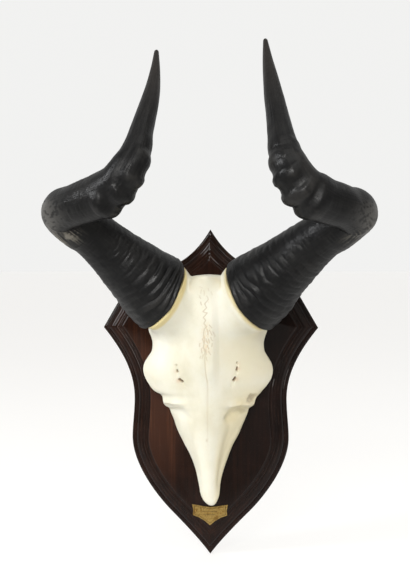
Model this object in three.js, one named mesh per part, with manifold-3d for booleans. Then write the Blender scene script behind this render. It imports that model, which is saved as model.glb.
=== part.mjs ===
// Hartebeest skull with both horns, screwed to a moulded wooden wall shield with a brass name plate.
// Millimetres, +Z up. The shield's flat back lies on the plane y = 0 and the face looks towards -Y.
// The origin is the middle of the shield's back, where it rests on the wall.
import * as THREE from "three";
import { mergeVertices } from "three/addons/utils/BufferGeometryUtils.js";
import Module from "manifold-3d";

const wasm = await Module();
wasm.setup();

// Gap left between two pieces that touch in nature.
const fitGap = 0.3;

// Shield: the half outline, and the moulding as steps in from the edge and up from the back.
const shieldTop = 190.4;
const shieldBottom = -191.9;
const shieldCorner = new THREE.Vector2(126.2, 75.5);
const shieldShoulder = new THREE.Vector2(64, 143.5);
const shieldCornerRun = new THREE.Vector2(99, 122.5);
const shieldWaist = new THREE.Vector2(89.6, -8);
const shieldBelly = new THREE.Vector2(92.1, -54);
const shieldToe = new THREE.Vector2(47.1, -139.9);
const fieldHeight = 20;
const mouldingSteps = [
  { inset: 0, height: 0 },
  { inset: 0, height: 6.6 },
  { inset: 0.8, height: 7.4 },
  { inset: 5.1, height: 8.4 },
  { inset: 5.4, height: 10.4 },
  { inset: 10.7, height: 15.2 },
  { inset: 14.6, height: 16.4 },
  { inset: 14.9, height: 17.6 },
  { inset: 17.8, height: 17.9 },
  { inset: 21.4, height: fieldHeight },
];
const pointsPerLongSide = 14;
const pointsPerShortSide = 11;

// Skull, measured from the sawn back: half width, height of the widest line and height of the crest.
const skullBack = -(fieldHeight + fitGap);
const skullStations = [
  { z: 138, half: 30, edge: 22, crest: 78 },
  { z: 136, half: 36, edge: 24, crest: 84 },
  { z: 127, half: 46, edge: 28, crest: 87 },
  { z: 110, half: 55, edge: 30, crest: 83 },
  { z: 93, half: 62, edge: 31, crest: 80 },
  { z: 77, half: 66.3, edge: 30, crest: 76.5 },
  { z: 66, half: 63.6, edge: 28, crest: 74 },
  { z: 56, half: 63.5, edge: 26, crest: 71 },
  { z: 46, half: 69.5, edge: 26, crest: 67.8 },
  { z: 37, half: 74, edge: 26, crest: 65 },
  { z: 29, half: 75, edge: 26, crest: 62.5 },
  { z: 20, half: 72, edge: 25, crest: 60 },
  { z: 11, half: 66, edge: 24, crest: 57.4 },
  { z: 3, half: 59, edge: 22, crest: 55 },
  { z: -6, half: 54.3, edge: 20, crest: 52.2 },
  { z: -12, half: 50.5, edge: 18, crest: 50.2 },
  { z: -18, half: 45.5, edge: 13, crest: 48.2 },
  { z: -24, half: 43.2, edge: 11.5, crest: 46.2 },
  { z: -30, half: 41.4, edge: 10, crest: 44.2 },
  { z: -42, half: 37, edge: 8, crest: 40 },
  { z: -63, half: 27.6, edge: 6.5, crest: 32.6 },
  { z: -83, half: 19.2, edge: 6.5, crest: 25.8 },
  { z: -100, half: 13.8, edge: 6.5, crest: 20.2 },
  { z: -113, half: 11.4, edge: 6.5, crest: 16 },
  { z: -123, half: 9.2, edge: 6, crest: 12.6 },
  { z: -128.5, half: 6.2, edge: 5.5, crest: 10 },
  { z: -131, half: 2.6, edge: 5, crest: 6.6 },
];
const skullPointsAcross = 21;
const browZ = 62;
const noseZ = -40;
const browDomePower = 1.75;
const noseDomePower = 1.15;
const crestRidgeHeight = 3.2;
const crestRidgeHalfWidth = 11;
const sideTuck = 5;
const cheekRidgeHeight = 2;
const cheekRidgeZ = -8;
const cheekRidgeHalfWidth = 5;
const cheekDipDepth = 2.4;
const cheekDipZ = -22;
const cheekDipHalfWidth = 8;
const midlineTurn = 0.9;

// Eye sockets: a hollow on each side under the brow, open to the side and to the back.
const orbitRadii = new THREE.Vector3(27, 17.5, 23);
const orbitX = 80;
const orbitZ = 27;
const orbitHeight = 2;

// Small holes of the brow and the hollows in front of the eyes: x, z, radius, depth.
const bonePits = [
  { x: -34.2, z: 31, radius: 1.7, depth: 4 },
  { x: -30.2, z: 20.5, radius: 2.4, depth: 5 },
  { x: -35.4, z: 37.5, radius: 1.2, depth: 3 },
  { x: 33.8, z: 40, radius: 1.6, depth: 4 },
  { x: 33.6, z: 33, radius: 1.8, depth: 4 },
  { x: 31, z: 21, radius: 2.4, depth: 5 },
  { x: 49, z: -1.5, radius: 4, depth: 6 },
  { x: -49.5, z: -1.5, radius: 3.2, depth: 5 },
];

// Pedicle and core stub that carry each horn: place along the horn's axis, radius, shift to the face.
const coreLength = 26;
const coreBaseRadius = 37;
const coreEndRadius = 31;
const coreRoom = 1.2;
const pedicleSteps = [
  { along: -46, radius: 30, shift: 8 },
  { along: -20, radius: 37.5, shift: 6 },
  { along: -8, radius: 43, shift: 3 },
  { along: -2, radius: 45, shift: 1.6 },
  { along: -fitGap, radius: 44.6, shift: 1.4 },
  { along: -fitGap, radius: coreBaseRadius, shift: 0 },
  { along: coreLength, radius: coreEndRadius, shift: 0 },
];
const pedicleShift = new THREE.Vector3(0.5, -0.3, -0.8);
const pediclePointsAround = 28;

// Horns: centre line and half thickness from seat to tip, as measured on the photo.
const leftHornLine = [
  [-47.5, -68, 114, 44.6],
  [-58, -74.5, 121.4, 41.2],
  [-72, -83.5, 135.5, 37],
  [-85.7, -92, 150, 33],
  [-98.5, -99, 162.5, 29.6],
  [-115, -109, 177.8, 26.7],
  [-132, -121, 192.8, 25.3],
  [-148.5, -139, 206.8, 24.2],
  [-131.5, -160, 213.8, 23.2],
  [-103.3, -177, 221.2, 23.6],
  [-81.6, -189, 232.4, 20.4],
  [-70.8, -191, 251, 16.8],
  [-63.6, -181, 270.6, 14.2],
  [-60.6, -168, 288.7, 12],
  [-56.6, -148, 314, 10],
  [-54, -128, 337.6, 7.9],
  [-53.4, -109, 360.3, 5.3],
  [-54.2, -89, 384.5, 1.5],
];
const rightHornLine = [
  [49.5, -68, 115.4, 44.3],
  [60.5, -73, 122.8, 41.3],
  [78, -84, 139.5, 36.4],
  [91, -91, 151.5, 33.1],
  [108, -100, 166.5, 29],
  [123.8, -108, 178.3, 26.5],
  [140, -118, 189.2, 25.6],
  [160, -137, 203.2, 24.8],
  [148.5, -157, 210.6, 23.8],
  [128.7, -174, 216, 24],
  [107.6, -188, 227, 21.4],
  [96, -191, 242, 18.4],
  [88.6, -184, 258.7, 16.4],
  [84.4, -173, 276.7, 14.4],
  [80.4, -154, 301, 12],
  [76.3, -137, 322.4, 10.2],
  [72.8, -119, 346, 8.4],
  [68.3, -97, 374.5, 5.3],
  [65.6, -81, 397, 1.5],
];
const hornLength = 452;
const hornPointsAround = 16;
const hornStations = 66;
const baseShare = 0.3;
const wrinkleCount = 9;
const wrinkleHeight = 0.9;
const knobWidth = 5;
const knobs = [
  { at: 0.44, height: 1.6 },
  { at: 0.5, height: 4 },
  { at: 0.555, height: 4.8 },
  { at: 0.6, height: 4.8 },
  { at: 0.642, height: 4 },
  { at: 0.685, height: 1.4 },
];
const knobSide = new THREE.Vector3(0.45, -0.75, -0.4).normalize();
const roomRings = 15;

// Brass plate and pins.
const plateThickness = 1.2;
const plateHalf = [
  [0, -133.2],
  [21.2, -130.4],
  [20.3, -134.2],
  [19.7, -138],
  [20.3, -143.2],
  [12.5, -146.2],
  [5.8, -150.2],
  [0, -155.2],
];
const plateBevel = 0.5;
const pinX = 16;
const pinZ = -138.6;
const pinHeadRadius = 1;
const pinShankRadius = 0.6;
const pinLength = 8;

// Back fixings: a keyhole hanging plate let into the back and countersunk wood screws.
const hangerZ = 118;
const hangerHalfWidth = 11;
const hangerHalfHeight = 24;
const hangerThickness = 2;
const hangerPocketDepth = 9;
const hangerSlotRadius = 4.5;
const hangerSlotNeck = 2.2;
const hangerScrewOffset = 17;
const hangerScrew = { head: 3.4, shank: 1.6, headDepth: 1.8, length: 12 };
const skullScrew = { head: 5, shank: 2.3, headDepth: 2.8, length: 48 };
const skullScrewUpperZ = 58;
const skullScrewLowerZ = -30;

// The finish of a piece.
function finish(colour, roughness, metalness) {
  return new THREE.MeshStandardMaterial({ color: colour, roughness, metalness });
}

// Turns a surface into a solid that can be joined and cut.
function solidFrom(geometry) {
  const bare = geometry.clone();
  bare.deleteAttribute("normal");
  bare.deleteAttribute("uv");
  const merged = mergeVertices(bare, 1e-4);
  return new wasm.Manifold(
    new wasm.Mesh({
      numProp: 3,
      vertProperties: merged.attributes.position.array,
      triVerts: new Uint32Array(merged.index.array),
    }),
  );
}

// Turns a solid back into a surface.
function surfaceFrom(solid) {
  const made = solid.getMesh();
  const geometry = new THREE.BufferGeometry();
  geometry.setAttribute("position", new THREE.BufferAttribute(made.vertProperties, 3));
  geometry.setIndex(new THREE.BufferAttribute(made.triVerts, 1));
  return geometry;
}

// Closed skin through rings of equal point count, each end closed by a fan or by flat triangles.
function skin(rings, flatEnds) {
  const count = rings[0].length;
  const points = rings.flat();
  const faces = [];
  for (let r = 0; r < rings.length - 1; r += 1) {
    for (let i = 0; i < count; i += 1) {
      const a = r * count + i;
      const b = r * count + ((i + 1) % count);
      faces.push(a, b, b + count);
      faces.push(a, b + count, a + count);
    }
  }
  const lastStart = (rings.length - 1) * count;
  if (flatEnds) {
    for (const [start, ring, turned] of [
      [0, rings[0], true],
      [lastStart, rings[rings.length - 1], false],
    ]) {
      const outline = ring.map((p) => new THREE.Vector2(p.x, p.z));
      const forwards = !THREE.ShapeUtils.isClockWise(outline);
      for (const [a, b, c] of THREE.ShapeUtils.triangulateShape(outline, [])) {
        const keep = turned !== forwards;
        faces.push(start + a, start + (keep ? b : c), start + (keep ? c : b));
      }
    }
  } else {
    for (const [start, ring, turned] of [
      [0, rings[0], true],
      [lastStart, rings[rings.length - 1], false],
    ]) {
      const middle = new THREE.Vector3();
      ring.forEach((p) => middle.addScaledVector(p, 1 / count));
      const hub = points.push(middle) - 1;
      for (let i = 0; i < count; i += 1) {
        const next = (i + 1) % count;
        faces.push(hub, start + (turned ? next : i), start + (turned ? i : next));
      }
    }
  }
  const geometry = new THREE.BufferGeometry().setFromPoints(points);
  geometry.setIndex(faces);
  return geometry;
}

// The same skin with its faces turned outwards.
function outwardSkin(rings, flatEnds) {
  const geometry = skin(rings, flatEnds);
  const solid = solidFrom(geometry);
  if (solid.volume() > 0) return solid;
  const index = geometry.getIndex().array;
  for (let i = 0; i < index.length; i += 3) {
    [index[i + 1], index[i + 2]] = [index[i + 2], index[i + 1]];
  }
  return solidFrom(geometry);
}

// A turned piece: profile of radius and depth, its axis along the given direction.
function turned(profile, segments, base, direction) {
  const points = profile.map(([radius, along]) => new THREE.Vector2(radius, along));
  const geometry = new THREE.LatheGeometry(points, segments);
  const turn = new THREE.Quaternion();
  turn.setFromUnitVectors(new THREE.Vector3(0, 1, 0), direction.clone().normalize());
  geometry.applyQuaternion(turn);
  geometry.translate(base.x, base.y, base.z);
  const solid = solidFrom(geometry);
  if (solid.volume() > 0) return solid;
  const index = geometry.getIndex().array;
  for (let i = 0; i < index.length; i += 3) {
    [index[i + 1], index[i + 2]] = [index[i + 2], index[i + 1]];
  }
  return solidFrom(geometry);
}

// Value between two neighbouring stations of a list that runs down in z.
function between(stations, key, z) {
  const last = stations.length - 1;
  if (z >= stations[0].z) return stations[0][key];
  if (z <= stations[last].z) return stations[last][key];
  const k = stations.findIndex((s) => s.z < z);
  const high = stations[k - 1];
  const low = stations[k];
  const share = (high.z - z) / (high.z - low.z);
  return high[key] + share * (low[key] - high[key]);
}

// Right half of the shield's edge: the short upper side and the long lower side.
function shieldSides() {
  const upper = new THREE.CurvePath();
  const top = new THREE.Vector2(0, shieldTop);
  upper.add(
    new THREE.CubicBezierCurve(
      top,
      new THREE.Vector2(11, 172),
      new THREE.Vector2(30, 147),
      shieldShoulder,
    ),
  );
  upper.add(
    new THREE.CubicBezierCurve(
      shieldShoulder,
      new THREE.Vector2(76, 141),
      new THREE.Vector2(92, 134.6),
      shieldCornerRun,
    ),
  );
  upper.add(new THREE.LineCurve(shieldCornerRun, shieldCorner));
  const lower = new THREE.CurvePath();
  lower.add(
    new THREE.CubicBezierCurve(
      shieldCorner,
      new THREE.Vector2(104, 48),
      new THREE.Vector2(89.6, 22),
      shieldWaist,
    ),
  );
  lower.add(
    new THREE.CubicBezierCurve(
      shieldWaist,
      new THREE.Vector2(89.6, -24),
      new THREE.Vector2(92.1, -40),
      shieldBelly,
    ),
  );
  lower.add(
    new THREE.CubicBezierCurve(
      shieldBelly,
      new THREE.Vector2(92.1, -82),
      new THREE.Vector2(70, -116.2),
      shieldToe,
    ),
  );
  lower.add(
    new THREE.CubicBezierCurve(
      shieldToe,
      new THREE.Vector2(28, -159),
      new THREE.Vector2(11, -177),
      new THREE.Vector2(0, shieldBottom),
    ),
  );
  return [upper, lower];
}

// The curve moved inwards by the inset, as a fine run of points.
function movedIn(curve, inset) {
  const fine = 160;
  const run = [];
  for (let i = 0; i <= fine; i += 1) {
    const point = curve.getPointAt(i / fine);
    const tangent = curve.getTangentAt(i / fine);
    run.push(new THREE.Vector2(point.x + tangent.y * inset, point.y - tangent.x * inset));
  }
  return run;
}

// Where two runs of points cross: the mitre point and the place in each run.
function crossing(first, second) {
  for (let i = first.length - 2; i >= 0; i -= 1) {
    for (let j = 0; j < second.length - 1; j += 1) {
      const a = first[i];
      const ab = first[i + 1].clone().sub(a);
      const c = second[j];
      const cd = second[j + 1].clone().sub(c);
      const across = ab.x * cd.y - ab.y * cd.x;
      if (Math.abs(across) < 1e-9) continue;
      const ac = c.clone().sub(a);
      const s = (ac.x * cd.y - ac.y * cd.x) / across;
      const t = (ac.x * ab.y - ac.y * ab.x) / across;
      if (s >= 0 && s <= 1 && t >= 0 && t <= 1) {
        return { point: a.clone().addScaledVector(ab, s), i, j };
      }
    }
  }
  return null;
}

// Evenly spaced points along a run, both ends included.
function evenly(run, count) {
  const reach = [0];
  for (let i = 1; i < run.length; i += 1) {
    reach.push(reach[i - 1] + run[i].distanceTo(run[i - 1]));
  }
  const total = reach[reach.length - 1];
  const points = [];
  for (let k = 0; k < count; k += 1) {
    const want = (total * k) / (count - 1);
    let i = reach.findIndex((r) => r >= want);
    i = Math.max(1, i);
    const share = (want - reach[i - 1]) / (reach[i] - reach[i - 1] || 1);
    points.push(run[i - 1].clone().lerp(run[i], share));
  }
  return points;
}

// One closed ring of the shield at an inset, mitred at the point, the corners and the toe.
function shieldRing(sides, inset, height) {
  let upper = movedIn(sides[0], inset);
  let lower = movedIn(sides[1], inset);
  if (inset > 0) {
    const firstInside = upper.findIndex((p, i) => i > 0 && p.x > 0 && upper[i - 1].x <= 0);
    const share = -upper[firstInside - 1].x / (upper[firstInside].x - upper[firstInside - 1].x);
    const tip = upper[firstInside - 1].clone().lerp(upper[firstInside], share);
    upper = [new THREE.Vector2(0, tip.y), ...upper.slice(firstInside)];
    const lastInside = lower.findIndex((p, i) => i > 10 && p.x <= 0);
    const before = lower[lastInside - 1];
    const after = lower[lastInside];
    const toe = before.clone().lerp(after, before.x / (before.x - after.x));
    lower = [...lower.slice(0, lastInside), new THREE.Vector2(0, toe.y)];
    const corner = crossing(upper, lower);
    upper = [...upper.slice(0, corner.i + 1), corner.point];
    lower = [corner.point, ...lower.slice(corner.j + 1)];
  }
  const right = [
    ...evenly(upper, pointsPerShortSide),
    ...evenly(lower, pointsPerLongSide).slice(1),
  ];
  const left = right.slice(1, -1).reverse();
  return [
    ...right.map((p) => new THREE.Vector3(p.x, -height, p.y)),
    ...left.map((p) => new THREE.Vector3(-p.x, -height, p.y)),
  ];
}

// Countersunk wood screw: the head lies flush with the back, the shank runs in towards -Y.
function screwProfile(size, grow) {
  return [
    [0, -grow],
    [size.head + grow, -grow],
    [size.head + grow, 0.4],
    [size.shank + grow, size.headDepth + grow],
    [size.shank + grow, size.length - 3],
    [0, size.length + grow],
  ];
}

// Shield.
const inwards = new THREE.Vector3(0, -1, 0);
const screwPlaces = [
  { name: "skull_screw_upper", size: skullScrew, x: 0, y: -fitGap, z: skullScrewUpperZ },
  { name: "skull_screw_lower", size: skullScrew, x: 0, y: -fitGap, z: skullScrewLowerZ },
  {
    name: "hanger_screw_upper",
    size: hangerScrew,
    x: 0,
    y: -fitGap,
    z: hangerZ + hangerScrewOffset,
  },
  {
    name: "hanger_screw_lower",
    size: hangerScrew,
    x: 0,
    y: -fitGap,
    z: hangerZ - hangerScrewOffset,
  },
];
const screwCuts = screwPlaces.map((s) =>
  turned(screwProfile(s.size, fitGap), 12, new THREE.Vector3(s.x, s.y, s.z), inwards),
);
const screwSolids = screwPlaces.map((s) =>
  turned(screwProfile(s.size, 0), 12, new THREE.Vector3(s.x, s.y, s.z), inwards),
);

const sides = shieldSides();
let shield = outwardSkin(
  mouldingSteps.map((step) => shieldRing(sides, step.inset, step.height)),
  true,
);
const pocket = new THREE.BoxGeometry(
  2 * (hangerHalfWidth + fitGap),
  2 * hangerThickness + 2 * fitGap,
  2 * (hangerHalfHeight + fitGap),
);
pocket.translate(0, 0, hangerZ);
shield = shield.subtract(solidFrom(pocket));
const nailRoom = new THREE.BoxGeometry(
  2.6 * hangerSlotRadius,
  2 * hangerPocketDepth,
  5 * hangerSlotRadius,
);
nailRoom.translate(0, 0, hangerZ);
shield = shield.subtract(solidFrom(nailRoom));
screwCuts.forEach((cut) => {
  shield = shield.subtract(cut);
});

// Hanging plate with its keyhole.
const keyhole = new THREE.Shape();
keyhole.moveTo(-hangerHalfWidth, -hangerHalfHeight);
keyhole.lineTo(hangerHalfWidth, -hangerHalfHeight);
keyhole.lineTo(hangerHalfWidth, hangerHalfHeight);
keyhole.lineTo(-hangerHalfWidth, hangerHalfHeight);
keyhole.closePath();
const slot = new THREE.Path();
const neckAngle = Math.asin(hangerSlotNeck / hangerSlotRadius);
slot.absarc(0, -5, hangerSlotRadius, Math.PI / 2 - neckAngle, Math.PI / 2 + neckAngle, true);
slot.absarc(0, 6, hangerSlotNeck, Math.PI, 0, true);
keyhole.holes.push(slot);
const hangerForm = new THREE.ExtrudeGeometry(keyhole, {
  depth: hangerThickness,
  bevelEnabled: false,
  curveSegments: 6,
});
hangerForm.rotateX(Math.PI / 2);
hangerForm.translate(0, -fitGap, hangerZ);
let hanger = solidFrom(hangerForm);
screwCuts.slice(2).forEach((cut) => {
  hanger = hanger.subtract(cut);
});

// The low ridge that runs inwards from each stub in front of the eye, and the dip under it.
function cheekSwell(x, z) {
  const across = THREE.MathUtils.smoothstep(Math.abs(x), 20, 34);
  const ridge = cheekRidgeHeight * Math.exp(-(((z - cheekRidgeZ) / cheekRidgeHalfWidth) ** 2));
  const dip = cheekDipDepth * Math.exp(-(((z - cheekDipZ) / cheekDipHalfWidth) ** 2));
  return across * (ridge - dip);
}

// Skull: front height of the bone over the sawn back at a place across a station.
function boneRing(z) {
  const half = between(skullStations, "half", z);
  const edge = between(skullStations, "edge", z);
  const crest = between(skullStations, "crest", z);
  const blend = THREE.MathUtils.clamp((z - noseZ) / (browZ - noseZ), 0, 1);
  const power = THREE.MathUtils.lerp(noseDomePower, browDomePower, blend);
  const ridge = crestRidgeHeight * blend;
  const lean = THREE.MathUtils.clamp((z + 130) / 230, 0, 1) * midlineTurn;
  const ring = [];
  const put = (x, h) => ring.push(new THREE.Vector3(x + lean, skullBack - h, z));
  const tuck = Math.min(sideTuck, half * 0.3);
  put(-(half - tuck), 0);
  put(-(half - tuck * 0.25), edge * 0.55);
  for (let i = 0; i < skullPointsAcross; i += 1) {
    const angle = (Math.PI * i) / (skullPointsAcross - 1);
    const x = -half * Math.cos(angle);
    const dome = Math.pow(Math.sin(angle), power);
    const bump = ridge * (Math.exp(-((x / crestRidgeHalfWidth) ** 2)) - 1) * dome;
    put(x, edge + (crest - edge) * dome + bump + cheekSwell(x, z));
  }
  put(half - tuck * 0.25, edge * 0.55);
  put(half - tuck, 0);
  return ring;
}
let skull = outwardSkin(skullStations.map((s) => boneRing(s.z)), false);

// A list of centre points and half thicknesses as a smooth line.
function hornCurve(line) {
  const curve = new THREE.CatmullRomCurve3(
    line.map(([x, y, z]) => new THREE.Vector3(x, y, z)),
    false,
    "centripetal",
  );
  curve.arcLengthDivisions = 600;
  return curve;
}

// Half thickness of the horn at a share of its length.
function hornThickness(line, curve, share) {
  const t = curve.getUtoTmapping(share) * (line.length - 1);
  const i = Math.min(Math.floor(t), line.length - 2);
  const a = line[Math.max(i - 1, 0)][3];
  const b = line[i][3];
  const c = line[i + 1][3];
  const d = line[Math.min(i + 2, line.length - 1)][3];
  const f = t - i;
  const slopeB = (c - a) / 2;
  const slopeC = (d - b) / 2;
  return (
    b * (2 * f ** 3 - 3 * f ** 2 + 1) +
    slopeB * (f ** 3 - 2 * f ** 2 + f) +
    c * (3 * f ** 2 - 2 * f ** 3) +
    slopeC * (f ** 3 - f ** 2)
  );
}

// Swell of the wrinkles near the seat and of the knobbed rings round the second bend.
function ringSwell(share, knobShare) {
  const fade = THREE.MathUtils.clamp((baseShare - share) / 0.06, 0, 1);
  const wrinkle = wrinkleHeight * fade * Math.sin((share / baseShare) * wrinkleCount * 2 * Math.PI);
  const knob = knobs.reduce((sum, { at, height }) => {
    const away = ((share - at) * hornLength) / knobWidth;
    return sum + height * Math.exp(-away * away);
  }, 0);
  return wrinkle + knob * knobShare;
}

// Shares of the length at which the horn has a ring of points, denser where it is wrinkled.
function hornShares() {
  const shares = [];
  for (let i = 0; i <= hornStations; i += 1) {
    const s = i / hornStations;
    shares.push(s < 0.75 ? s * 0.88 : 0.66 + (s - 0.75) * 1.36);
  }
  shares[hornStations] = 1;
  return shares;
}

// One horn: the hollow seat, the rim, and the swept skin up to the tip.
function hornParts(line, mirror) {
  const curve = hornCurve(line);
  const knobDirection = new THREE.Vector3(knobSide.x * mirror, knobSide.y, knobSide.z);
  const seat = curve.getPointAt(0);
  const axis = curve.getTangentAt(0);
  let side = new THREE.Vector3(0, -1, 0);
  let previous = axis.clone();
  const rings = [];
  const ringAt = (centre, tangent, sideways, radiusAt) => {
    const other = new THREE.Vector3().crossVectors(tangent, sideways).normalize();
    const ring = [];
    for (let i = 0; i < hornPointsAround; i += 1) {
      const angle = (2 * Math.PI * i) / hornPointsAround;
      const out = sideways.clone().multiplyScalar(Math.cos(angle));
      out.addScaledVector(other, Math.sin(angle));
      ring.push(centre.clone().addScaledVector(out, radiusAt(out)));
    }
    return ring;
  };
  side.addScaledVector(axis, -side.dot(axis)).normalize();
  const firstSide = side.clone();
  hornShares().forEach((share) => {
    const centre = curve.getPointAt(share);
    const tangent = curve.getTangentAt(share);
    const turn = new THREE.Quaternion().setFromUnitVectors(previous, tangent);
    side.applyQuaternion(turn);
    side.addScaledVector(tangent, -side.dot(tangent)).normalize();
    previous = tangent.clone();
    const thickness = hornThickness(line, curve, share);
    const reach = Math.min(1, thickness / 12);
    rings.push(
      ringAt(centre, tangent, side, (out) => {
        const facing = THREE.MathUtils.clamp(0.55 + 0.6 * out.dot(knobDirection), 0, 1);
        return thickness + ringSwell(share, facing) * reach;
      }),
    );
  });
  const hollow = [
    { along: coreLength + coreRoom, radius: coreEndRadius + coreRoom },
    { along: 0, radius: coreBaseRadius + coreRoom },
  ].map((h) =>
    ringAt(seat.clone().addScaledVector(axis, h.along), axis, firstSide, () => h.radius),
  );
  const horn = outwardSkin([...hollow, ...rings], false);
  const roomStart = seat.clone().addScaledVector(axis, -fitGap);
  const room = outwardSkin(
    [
      ringAt(roomStart, axis, firstSide, () => line[0][3] + 2 * fitGap),
      ...rings.slice(1, roomRings).map((ring) => {
        const centre = new THREE.Vector3();
        ring.forEach((p) => centre.addScaledVector(p, 1 / ring.length));
        return ring.map((p) => {
          const out = p.clone().sub(centre).normalize();
          return p.clone().addScaledVector(out, 2 * fitGap);
        });
      }),
    ],
    false,
  );
  return { horn, seat, axis, room };
}
const left = hornParts(leftHornLine, 1);
const right = hornParts(rightHornLine, -1);

// Pedicle with its core stub, grown from the brow to the seat of each horn and into its hollow.
function pedicle(part, sign) {
  const low = new THREE.Vector3(sign * pedicleShift.x, pedicleShift.y, pedicleShift.z);
  low.addScaledVector(part.axis, -low.dot(part.axis)).normalize();
  const other = new THREE.Vector3().crossVectors(part.axis, low);
  const rings = pedicleSteps.map(({ along, radius, shift }) => {
    const centre = part.seat.clone().addScaledVector(part.axis, along);
    centre.addScaledVector(low, shift);
    const ring = [];
    for (let i = 0; i < pediclePointsAround; i += 1) {
      const angle = (2 * Math.PI * i) / pediclePointsAround;
      const p = centre.clone().addScaledVector(low, radius * Math.cos(angle));
      ring.push(p.addScaledVector(other, radius * Math.sin(angle)));
    }
    return ring;
  });
  return outwardSkin(rings, false);
}
skull = skull.subtract(left.room).subtract(right.room);
skull = skull.add(pedicle(left, 1)).add(pedicle(right, -1));

// Everything behind the saw cut comes away.
const behind = new THREE.BoxGeometry(400, 100, 400);
behind.translate(0, skullBack + 50, 60);
skull = skull.subtract(solidFrom(behind));

// Eye sockets.
[-1, 1].forEach((sign) => {
  const orbit = new THREE.SphereGeometry(1, 14, 8);
  orbit.scale(orbitRadii.x, orbitRadii.y, orbitRadii.z);
  orbit.translate(sign * orbitX, skullBack - orbitHeight, orbitZ);
  skull = skull.subtract(solidFrom(orbit));
});

// Small holes and hollows, each sunk into the front of the bone.
bonePits.forEach((pit) => {
  const half = between(skullStations, "half", pit.z);
  const edge = between(skullStations, "edge", pit.z);
  const crest = between(skullStations, "crest", pit.z);
  const across = Math.sqrt(Math.max(0, 1 - (pit.x / half) ** 2));
  const front = edge + (crest - edge) * Math.pow(across, 1.6) - crestRidgeHeight * 0.6;
  const hole = new THREE.SphereGeometry(1, 8, 5);
  hole.scale(pit.radius, pit.depth, pit.radius);
  hole.translate(pit.x, skullBack - front - 0.5, pit.z);
  skull = skull.subtract(solidFrom(hole));
});
screwCuts.slice(0, 2).forEach((cut) => {
  skull = skull.subtract(cut);
});

// Brass plate, its front edge eased, and holes for its pins.
function plateRing(inset, height) {
  const halfRun = plateHalf.map(([x, z]) => new THREE.Vector2(x, z));
  const middle = new THREE.Vector2(0, -141);
  const easedHalf = halfRun.map((p) => {
    const towards = middle.clone().sub(p).normalize();
    return p.clone().addScaledVector(towards, inset);
  });
  const leftHalf = easedHalf.slice(1, -1).reverse();
  return [
    ...easedHalf.map((p) => new THREE.Vector3(p.x, -height, p.y)),
    ...leftHalf.map((p) => new THREE.Vector3(-p.x, -height, p.y)),
  ];
}
const plateBack = fieldHeight + fitGap;
let plate = outwardSkin(
  [
    plateRing(0, plateBack),
    plateRing(0, plateBack + plateThickness - plateBevel),
    plateRing(plateBevel, plateBack + plateThickness),
  ],
  true,
);
const plateFront = plateBack + plateThickness;
function pinProfile(grow) {
  return [
    [0, -0.7 - grow],
    [pinHeadRadius * 0.7 + grow, -0.5 - grow],
    [pinHeadRadius + grow, -grow],
    [pinShankRadius + grow, -grow + 0.05],
    [pinShankRadius + grow, pinLength - 1],
    [0, pinLength + grow],
  ];
}
const backwards = new THREE.Vector3(0, 1, 0);
const pinPlaces = [-1, 1].map((sign) => new THREE.Vector3(sign * pinX, -plateFront - fitGap, pinZ));
const pins = pinPlaces.map((place) => turned(pinProfile(0), 10, place, backwards));
const pinHoles = pinPlaces.map((place) =>
  turned(
    [
      [0, -1],
      [pinShankRadius + fitGap, -1],
      [pinShankRadius + fitGap, pinLength + fitGap],
      [0, pinLength + fitGap],
    ],
    10,
    place,
    backwards,
  ),
);
pinHoles.forEach((hole) => {
  plate = plate.subtract(hole);
  shield = shield.subtract(hole);
});

// All pieces with their names and finishes.
const group = new THREE.Group();
function place(name, solid, material) {
  const mesh = new THREE.Mesh(surfaceFrom(solid), material);
  mesh.name = name;
  group.add(mesh);
}
const steel = finish(0x8c8c88, 0.45, 1);
place("shield", shield, finish(0x35201b, 0.25, 0));
place("skull", skull, finish(0xf0e9d2, 0.55, 0));
place("horn_left", left.horn, finish(0x1f1e1d, 0.42, 0));
place("horn_right", right.horn, finish(0x1f1e1d, 0.42, 0));
place("name_plate", plate, finish(0x96783a, 0.35, 1));
place("plate_pin_left", pins[0], finish(0xa8873f, 0.35, 1));
place("plate_pin_right", pins[1], finish(0xa8873f, 0.35, 1));
place("hanger_plate", hanger, steel.clone());
screwPlaces.forEach((s, i) => place(s.name, screwSolids[i], steel.clone()));

export default group;
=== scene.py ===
import math

import bmesh
import bpy
import numpy as np
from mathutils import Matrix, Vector


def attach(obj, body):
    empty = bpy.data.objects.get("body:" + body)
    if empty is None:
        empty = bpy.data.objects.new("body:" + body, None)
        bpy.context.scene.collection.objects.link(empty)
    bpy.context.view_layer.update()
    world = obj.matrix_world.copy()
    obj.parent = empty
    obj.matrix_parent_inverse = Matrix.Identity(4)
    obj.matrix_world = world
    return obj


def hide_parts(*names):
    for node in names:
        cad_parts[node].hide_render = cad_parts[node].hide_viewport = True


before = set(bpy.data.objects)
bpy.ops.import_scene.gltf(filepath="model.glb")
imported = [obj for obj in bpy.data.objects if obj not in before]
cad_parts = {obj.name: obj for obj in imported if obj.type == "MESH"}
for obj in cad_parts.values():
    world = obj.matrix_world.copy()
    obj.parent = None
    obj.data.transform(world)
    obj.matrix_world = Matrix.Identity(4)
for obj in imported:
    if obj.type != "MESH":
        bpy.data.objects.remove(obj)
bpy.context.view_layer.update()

# The camera stands a little right of the shield's middle and a little above it, about 1.4 m away,
# and looks almost square on at the trophy. Its frame is 410 by 579, taller than wide.
scene = bpy.context.scene
scene.view_settings.view_transform = "Standard"
camera_turn = math.radians(4.0)
camera_dip = math.radians(1.5)
camera_lens = 74.2
camera_place = (0.09147, -1.40411, 0.15676)
camera = bpy.data.objects.new("camera", bpy.data.cameras.new("camera"))
camera.data.sensor_width = 36
camera.data.lens = camera_lens
camera.location = camera_place
camera.rotation_mode = "QUATERNION"
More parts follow.
